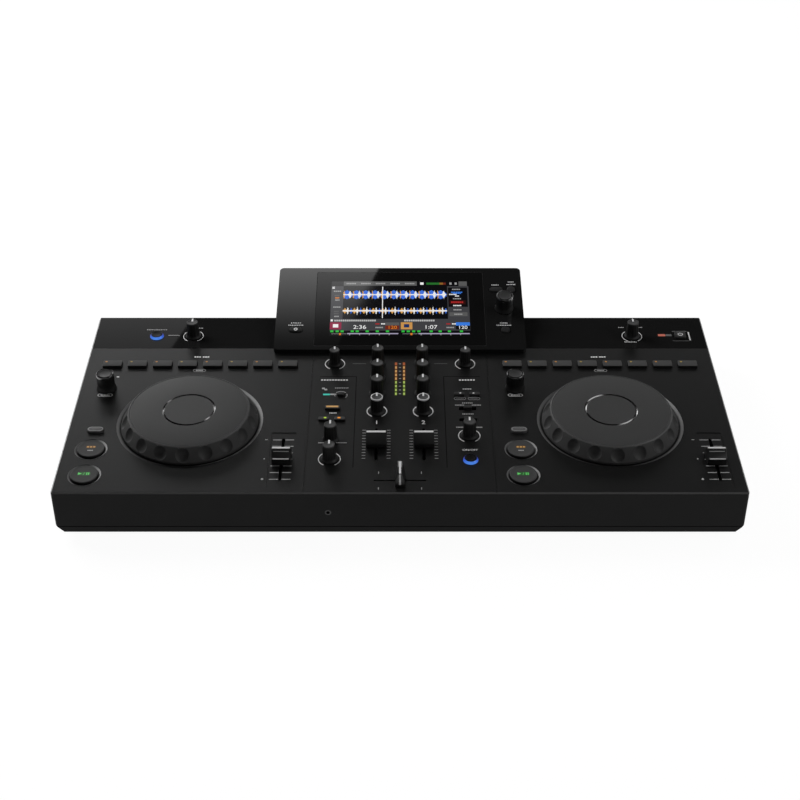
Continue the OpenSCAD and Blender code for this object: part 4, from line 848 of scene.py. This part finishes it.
# light rings round the effect and microphone keys
ringShape = {"foot": 7.5, "top": 6.1, "inner": 5.95, "high": 2.5, "down": -0.55, "steps": 64}
for node, name in (("effect_key", "effectRing"), ("mic_key", "micRing")):
    foot, top, inner, high, down, steps = ringShape.values()
    bm = bmesh.new()
    lathe(bm, [(inner, down), (foot, down), (foot, 0.3), (foot - 0.2, 0.8), (top + 0.25, high - 0.2), (top, high),
               (inner, high, 1), (inner, down, 1)], steps)
    finishPiece(name, bm, panelSpot(node), "console", "blueLight darkKeyFinish")

# level meter: a dim window and a bright core for each light, in bands of one colour
meterShape = {"x": 4.2, "top": 212.0, "step": -6.775, "window": (2.6, 5.4), "core": (1.4, 3.8)}
meterBands = [(1, "dimAmber", "dimRed"), (4, "dimAmber", "paleAmber"), (4, "dimLime", "paleLime")]
bm = bmesh.new()
window = sourcePiece("window", lambda b: dash(b, 0, 0, *meterShape["window"], 0, -0.3, 0.06, 0.6))
core = sourcePiece("core", lambda b: dash(b, 0, 0, *meterShape["core"], 0, 0, 0.1, 0.5))
step = meterShape["step"]
for x in (-meterShape["x"], meterShape["x"]):
    v = meterShape["top"]
    for k, (count, *pair) in enumerate(meterBands):
        for part, source in enumerate((window, core)):
            row(bm, source, count, (x, v, 0), (0, step, 0), pair[part], 2 * k + part)
        v += count * step
meterFinishes = " ".join(name for count, *pair in meterBands for name in pair)
finishPiece("levelMeter", bm, panelFrame, "console", meterFinishes)
print("lights made")

# prints on the panel
inks = "whiteInk greyInk dimInk darkInk panelFinish"
white, grey, dim, dark, plate = range(5)
bm = bmesh.new()


def label(x, v, count, pitch, ink=grey, source=smallLetter):  # greeked words
    row(bm, source, count, (x - (count - 1) * pitch / 2, v, 0), (pitch, 0, 0), inks.split()[ink], ink)


def finishPrint(name, place, finishes):
    finishPiece(name, bm, place, "console", finishes, (), "print")


arcShape = {"radius": {"trim": 10.3, "filter": 10.0}, "wide": 10.7, "from": (127, -60), "sweep": 113, "line": 0.85,
            "filterLine": 1.3}
for node in ("trim_knob_1", "trim_knob_2", "filter_knob_1", "filter_knob_2", "phones_level_knob", "effect_level_knob",
             "mic_level_knob", "master_level_knob"):
    radius = arcShape["radius"].get(node.split("_")[0], arcShape["wide"])
    line = arcShape["line"] * (arcShape["filterLine"] if node.startswith("filter") else 1)
    for start in arcShape["from"]:
        arc(bm, *printSpot(node), radius, start, arcShape["sweep"], line, "whiteInk", white)
for side in sides:
    x = printSpot("jog_wheel_" + side)[0]
    for dx in (-4.4, 4.4):
        label(x + dx, 224.9, 3, 2.5, white, letter)
    label(x, 199.7, 5, 1.5)
    frameLine(bm, x, 199.7, 13.5, 4.6, 2.3, 0.4, grey)
    x = printSpot("play_key_" + side)[0]
    label(x, 155.5, 6, 1.6, white)
    frameLine(bm, x, 155.5, 15.5, 4.8, 2.4, 0.5, white)
    dash(bm, x + 8.4, 188, 2.8, 1.6, white if side == "left" else dim, r=0.6)
label(-68.5, 182.4, 10, 2.9, white, letter)
label(70, 182.4, 6, 2.9, white, letter)
for x, v, count, pitch, ink in (
        (-60.5, 168.1, 8, 1.8, grey), (-68.1, 124.5, 5, 1.55, white), (69.5, 166.3, 5, 1.9, white),
        (61.7, 149.5, 5, 1.5, dim), (76.1, 149.5, 5, 1.5, dim), (69, 141.7, 6, 1.9, grey), (61, 138, 6, 1.6, grey),
        (78, 138, 6, 1.6, grey), (69, 122.8, 7, 1.7, grey), (60, 100.5, 5, 1.5, grey), (79, 100.5, 5, 1.5, grey),
        (-78, 75, 4, 1.5, grey), (-58, 75, 7, 1.5, grey)):
    label(x, v, count, pitch, ink)
for x in (61.7, 76.1):
    frameLine(bm, x, 149.5, 12.4, 4.6, 2.3, 0.4, grey)
for text, size, x, v in (("ON/OFF", 4.2, 69, 63.4), ("1", 8.5, -23.5, 108.4), ("2", 8.5, 23.5, 108.4)):
    words(bm, text, size, x, v)

# fader scales and section lines
for x in (-35.8, -11.2, 11.2, 35.8):
    row(bm, tick, 11, (x, 50.2, 0), (0, 4.54, 0), "greyInk", grey)
for side in sides:
    x = printSpot("tempo_slider_" + side)[0]
    for offset in (-6.0, 6.0):
        row(bm, longTick, 7, (x + offset, 18.3, -0.5), (0, 10.33, 0), "greyInk", grey)
    dash(bm, x - 17, 49.3, 1.3, 1.3, white, r=0.6)
    for v in (80, 18):
        dash(bm, x - 17, v, 2.6, 0.6, white)
    dash(bm, x - 17, 18, 0.6, 2.6, white, 0.001, 0.061)
row(bm, fineTick, 9, (0, meterShape["top"], 0), (0, step, 0), "greyInk", grey)
for side in (-1, 1):
    for v in (27.8, 3.8):
        dash(bm, side * 20.6, v, 0.6, 3.2, grey)
    dash(bm, side * 45.7, 112.3, 0.6, 152.7, dark)
    dash(bm, side * 64.8, 188.7, 38.4, 0.6, dark)
    dash(bm, side * 43.2, 212.4, 14, 0.6, dim)
    dash(bm, 0, printSpot("crossfader")[1] + side * 1.35, 57, 1.1, plate, -0.6, 0.02)  # lip that narrows the slot
dash(bm, 0, 28.4, 0.6, 2.4, grey)
finishPrint("panelPrint", panelFrame, inks)

# prints and lights on the glossy strip and beside the link key
bm = bmesh.new()
for x, v, count, pitch, ink in (
        (-266.3, 277.5, 12, 1.9, grey), (-218.4, 280.7, 3, 1.6, grey), (242.7, 282.1, 4, 1.6, grey),
        (263, 282.1, 4, 1.6, grey), (249.8, 253.6, 8, 1.7, white)):
    label(x, v, count, pitch, ink)
dash(bm, -246.4, 266.4, 12.5, 0.8, grey)
for x, v, w, d, ink in ((305.3, 274.4, 16, 1.1, dim), (315, 265, 1.3, 16, white), (304.9, 255.8, 18, 0.7, dim)):
    dash(bm, x, v, w, d, ink)  # painted highlights on the edges of the well around the power key, brightest along the right edge
finishPrint("stripPrint", panelFrame, inks)

bm = bmesh.new()
red, teal, linkGrey, unlit = range(4)
dash(bm, 285.2, 266.8, 8, 4, red, r=0.8)
dash(bm, 292.8, 266.8, 6.6, 3.6, unlit, 0, 0.05, 0.6)
dash(bm, -75.8, 156.6, 7.2, 2.6, teal, 0, 0.1, 0.5)
dash(bm, -68.9, 156.9, 6.2, 2.4, linkGrey, r=0.5)
x, v = printSpot("link_key")
for start, sweep in ((40, 100), (-40, 60), (160, 40)):
    arc(bm, x, v, 6.4, start, sweep, 0.7, "greyInk", linkGrey)
for dx, dy in ((-18.5, 11.8), (-16.0, 9.8)):
    dash(bm, x + dx, v + dy, 3.0, 2.6, linkGrey, r=0.8)
finishPrint("statusLights", panelFrame, "redLight tealLight greyInk dimInk")
print("prints made")

# picture on the touch screen: plain generic layout, sizes as shares of the lit area
picture = {"halfWidth": 76.3, "low": 21.5, "high": 111.4}
inkColours = {
    "bar": 0.1, "text": 0.35, "pale": 0.5, "white": 0.9, "panel": (0.05, 0.05, 0.055), "black": (0.002, 0.002, 0.003),
    "green": (0.03, 0.5, 0.05), "orange": (0.75, 0.22, 0.02), "red": (0.45, 0.02, 0.02),
    "blue": (0.04, 0.2, 0.75), "plum": (0.28, 0.02, 0.06), "sand": (0.6, 0.3, 0.08), "deepRed": (0.16, 0.02, 0.01),
    "navy": (0.01, 0.03, 0.12), "lilac": (0.4, 0.36, 0.5), "moss": (0.02, 0.16, 0.025), "wine": (0.03, 0.004, 0.003),
    "rust": (0.28, 0.12, 0.02)}
bm = bmesh.new()
inkLayer = bm.loops.layers.float_color.new("ink")


def toScreen(u, v):  # share from the left and from the top, to millimetres on the sloping face
    return (2 * u - 1) * picture["halfWidth"], picture["high"] - v * (picture["high"] - picture["low"])


def inkFrom(first, colour):  # colours the faces made since
    bm.faces.ensure_lookup_table()
    for face in bm.faces[first:]:
        for loop in face.loops:
            loop[inkLayer] = tone(inkColours[colour])


def patch(u0, v0, u1, v1, colour, level=1):
    (x0, y0), (x1, y1) = toScreen(u0, v1), toScreen(u1, v0)
    first = len(bm.faces)
    dash(bm, (x0 + x1) / 2, (y0 + y1) / 2, x1 - x0, y1 - y0, high=0.02 + 0.02 * level)
    inkFrom(first, colour)


def greek(u, v, width, high, count, colour, level=2):  # short bars in place of words
    for i in range(count):
        a = u + width * i / count
        patch(a, v - high / 2, a + width / count * 0.8, v + high / 2, colour, level)


for values in (
        (0, 0, 1, 1, "black", 0), (0.088, 0, 0.623, 0.08, "bar"), (0.648, 0.018, 0.673, 0.062, "white"),
        (0.693, 0.022, 0.79, 0.06, "moss"), (0.79, 0.022, 0.815, 0.06, "rust"),
        (0.815, 0.022, 0.835, 0.06, "deepRed"), (0.862, 0.02, 0.878, 0.06, "text"),
        (0.9, 0.02, 0.916, 0.06, "text"), (0.929, 0, 0.99, 0.085, "bar"),
        (0, 0.09, 0.088, 0.695, "panel"), (0.006, 0.1, 0.024, 0.14, "white"), (0.844, 0.09, 1, 0.695, "panel"),
        (0.85, 0.115, 0.99, 0.476, "black", 2), (0.858, 0.355, 0.975, 0.428, "wine", 3),
        (0.855, 0.575, 0.985, 0.645, "bar", 2), (0, 0.695, 1, 0.905, "panel"), (0.004, 0.705, 0.02, 0.74, "white", 2),
        (0.395, 0.76, 0.494, 0.81, "bar", 2), (0.395, 0.815, 0.494, 0.885, "deepRed", 2),
        (0.898, 0.757, 0.998, 0.815, "blue", 2), (0.898, 0.82, 0.998, 0.885, "black", 2)):
    patch(*values)
for i in range(5):
    greek(0.108 + 0.107 * i, 0.04, 0.072, 0.022, 6, "text")
for u, v, width, colour in (
        (0.018, 0.185, 0.055, "text"), (0.025, 0.265, 0.035, "bar"), (0.03, 0.31, 0.03, "orange"),
        (0.03, 0.35, 0.033, "text"), (0.018, 0.48, 0.055, "text"), (0.025, 0.56, 0.035, "bar"),
        (0.025, 0.6, 0.035, "bar"), (0.028, 0.65, 0.035, "text")):
    greek(u, v, width, 0.022, 4, colour)
for u, v, width, colour in (
        (0.88, 0.15, 0.06, "text"), (0.872, 0.205, 0.085, "blue"), (0.885, 0.225, 0.06, "blue"),
        (0.858, 0.245, 0.055, "white"), (0.9, 0.275, 0.03, "white"), (0.885, 0.325, 0.06, "text"),
        (0.885, 0.452, 0.06, "white"), (0.885, 0.53, 0.06, "text"), (0.89, 0.61, 0.06, "text")):
    greek(u, v, width, 0.02, 5, colour, 3)
greek(0.87, 0.39, 0.09, 0.03, 6, "red", 4)
greek(0.03, 0.725, 0.3, 0.03, 20, "pale")
greek(0.53, 0.725, 0.22, 0.03, 14, "pale")
for u0, tile, heart in ((0.0, "plum", "white"), (0.506, "sand", "navy")):  # a plain tile and a bar for each deck
    patch(u0, 0.757, u0 + 0.082, 0.882, tile, 2)
    patch(u0 + 0.022, 0.79, u0 + 0.06, 0.85, heart, 3)
    for u, v, width, count, colour in ((0.325, 0.785, 0.03, 3, "red"), (0.365, 0.785, 0.03, 3, "white"),
                                       (0.325, 0.85, 0.055, 5, "text")):
        greek(u0 + u, v, width, 0.022, count, colour)
    patch(u0 + 0.012, 0.96, u0 + 0.12, 0.965, "text", 2)
    patch(u0 + 0.068, 0.95, u0 + 0.082, 0.985, "orange", 3)
    patch(u0 + 0.125, 0.95, u0 + 0.488, 0.968, "lilac", 2)
    for k in range(5):
        patch(u0 + 0.14 + 0.07 * k, 0.968, u0 + 0.147 + 0.07 * k, 0.985, "text", 2)
for u in (0.005, 0.043, 0.078, 0.15, 0.185, 0.256, 0.328, 0.4, 0.511, 0.548, 0.586, 0.623, 0.71, 0.774, 0.84, 0.925):
    patch(u, 0.902, u + 0.022, 0.934, "green", 2)
for text, u, v, size, colour in (("2:36", 0.213, 0.845, 8.4, "white"), ("1:07", 0.719, 0.845, 8.4, "white"),
                                 ("120", 0.947, 0.85, 7.0, "white"), ("120", 0.445, 0.85, 7.0, "orange")):
    first = len(bm.faces)
    words(bm, text, size, *toScreen(u, v), 0.14)
    inkFrom(first, colour)
finishPrint("screenPicture", faceFrame, "pictureFinish")

# sound waves; layers: finish, peak, spread, floor, seed and share of the height
waves = {"count": 184, "left": 0.09, "right": 0.84, "beats": 11, "middle": (0.251, 0.549), "height": (15.2, 13.4)}
waveLayers = [
    [("waveBlue", 0.36, 0.9, 0.3, 3.0, 1.0), ("waveAmber", 0.05, 0.13, 0.0, 5.0, 0.95),
     ("waveWhite", 0.68, 0.2, 0.25, 7.0, 0.9)],
    [("waveAmber", 0.2, 0.22, 0.5, 4.0, 0.75), ("waveBlue", 0.85, 0.12, 0.12, 8.0, 0.8),
     ("waveWhite", 0.5, 0.12, 0.3, 9.0, 1.0)]]
waveFinishes = "waveBlue waveAmber waveWhite"
bm = bmesh.new()
for layers, middleLine, height in zip(waveLayers, waves["middle"], waves["height"]):
    x0, y0 = toScreen(waves["left"], middleLine)
    step = (toScreen(waves["right"], 0)[0] - x0) / waves["count"]
    for depth, (finish, peak, spread, floor, seed, share) in enumerate(layers):
        values = {"Count": waves["count"], "Step": step, "Height": height * share, "Seed": seed, "Peak": peak,
                  "Beat": waves["count"] / waves["beats"], "Spread": spread, "Floor": floor, "Finish": paints[finish]}
        place = Matrix.Translation((x0, y0, 0.1 + 0.03 * depth))
        grow(bm, waveTree, values, waveFinishes.split().index(finish), place)
dash(bm, *toScreen(0.3736, 0.39), 0.9, 52, 2, 0.1, 0.24)
finishPrint("screenWaves", faceFrame, waveFinishes)

bm = bmesh.new()  # greeked words beside the screen unit's keys, and a faint line round the glass
for x, v, count, pitch in (
        (-113.3, 42.3, 6, 1.9), (-113.3, 38.6, 9, 1.85), (106.2, 105.4, 5, 1.7), (124, 110.5, 4, 1.7),
        (124, 106.2, 6, 1.75), (113, 42.3, 5, 1.75), (113, 38.6, 9, 1.85)):
    label(x, v, count, pitch, white)
glass = [faceFrame.inverted() @ v.co / mm for v in frame["nodes"]["touch_display"].data.vertices]
(x0, y0), (x1, y1) = [[pick(p[k] for p in glass) for k in (0, 1)] for pick in (min, max)]
frameLine(bm, (x0 + x1) / 2, (y0 + y1) / 2, x1 - x0 - 5.6, y1 - y0 - 3, 2, 0.5, 5, 0.03)
finishPrint("screenUnitPrint", faceFrame, inks + " faintInk")
for source in sourcePieces:
    bpy.data.objects.remove(source)
print("screen made")


# floor: plain to other rays, white with a soft shadow to the camera and in reflections
def stagePiece(name, bm, finish):
    piece = newObject(name, meshFrom(name, bm))
    piece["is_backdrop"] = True
    tree, shader = newFinish(finish)
    piece.data.materials.append(paints[finish])
    tree.nodes.remove(shader)
    return piece, tree


bm = bmesh.new()
bmesh.ops.create_grid(bm, x_segments=2, y_segments=2, size=40)
tree = stagePiece("floor", bm, "floorFinish")[1]
path = addNode(tree, "ShaderNodeLightPath").outputs
seen = path["Is Camera Ray"]
for kind in ("Is Glossy Ray", "Is Transmission Ray"):
    seen = wire(tree, "ShaderNodeMath", seen, path[kind], operation="ADD", use_clamp=True)
plain, shadowed = [wire(tree, "ShaderNodeBsdfDiffuse", Color=tone(level)) for level in (0.8, 0.1)]
glow = wire(tree, "ShaderNodeEmission", Color=tone(1), Strength=0.955)
bright = wire(tree, "ShaderNodeAddShader", glow, shadowed)
shown = wire(tree, "ShaderNodeMixShader", seen, plain, bright)
feed(tree.nodes["Material Output"], shown)

lightPlan = {"rearLeft": {"at": (-0.75, 1.4, 0.62), "wide": 1.1, "high": 0.4, "power": 4.4},
             "rearRight": {"at": (0.45, 1.4, 0.62), "wide": 0.9, "high": 0.4, "power": 0.9},
             "left": {"at": (-1.25, 0.75, 1.12), "wide": 0.9, "high": 0.9, "power": 19.5, "gloss": False},
             "side": {"at": (1.4, -0.35, 0.9), "wide": 0.8, "high": 0.6, "power": 4.2},
             "fill": {"at": (0, -1.35, 1.7), "wide": 1.6, "high": 1.6, "power": 2.0},
             "upperRight": {"at": (0.95, 0.35, 1.3), "wide": 0.8, "high": 0.8, "power": 3.4}}
aim = Vector((0, 0, 0.05))
for name, plan in lightPlan.items():
    lamp = bpy.data.lights.new(name, "AREA")
    lamp.shape, lamp.size, lamp.size_y, lamp.energy = "RECTANGLE", plan["wide"], plan["high"], plan["power"]
    holder = newObject(name, lamp)
    holder.visible_glossy = plan.get("gloss", True)
    holder.location = plan["at"]
    holder.rotation_euler = (aim - Vector(plan["at"])).to_track_quat("-Z", "Y").to_euler()

scene.world = bpy.data.worlds.new("studio")
scene.world.use_nodes = True
tree = scene.world.node_tree
skyTones = [(0, 1.0), (0.035, 1.0), (0.07, 0.05), (0.12, 0.05), (0.44, 0.003), (1, 0.003)]  # white horizon, dim above
height = heightOf(tree, wire(tree, "ShaderNodeTexCoord", out="Generated"))
feed(tree.nodes["Background"], Color=ramp(tree, height, skyTones))

# reflector cards behind, for the sheen on the gloss; strength at the lower and the upper edge
cardsBack = 1.8
cards = {"screenCard": {"corners": [(-0.8, 1.72), (0.027, 1.72), (-0.19, 2.32), (-0.8, 2.32)], "glow": (3.0, 0.05)},
         "stripCard": {"corners": [(-1.7, 0.9), (-0.333, 0.9), (-0.60, 1.3), (-1.7, 1.3)], "glow": (0.86, 0.24)}}
for name, card in cards.items():
    bm = bmesh.new()
    bm.faces.new([bm.verts.new((x, cardsBack, z)) for x, z in card["corners"]])
    holder, tree = stagePiece(name, bm, name + "Glow")
    holder.visible_camera = False
    reach = (card["corners"][0][1], card["corners"][2][1], *card["glow"])
    height = heightOf(tree, objectPlace(tree))
    fade = wire(tree, "ShaderNodeMapRange", height, *reach, interpolation_type="SMOOTHSTEP")
    feed(tree.nodes["Material Output"], wire(tree, "ShaderNodeEmission", Strength=fade))

view = bpy.data.cameras.new("view")
view.lens, view.sensor_width = 69.51, 36
camera = newObject("view", view)
camera.location = (0, -1.3166, 0.9910)
camera.rotation_euler = (math.radians(53.907), 0, 0)
scene.camera = camera

low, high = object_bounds()
print("scene done")
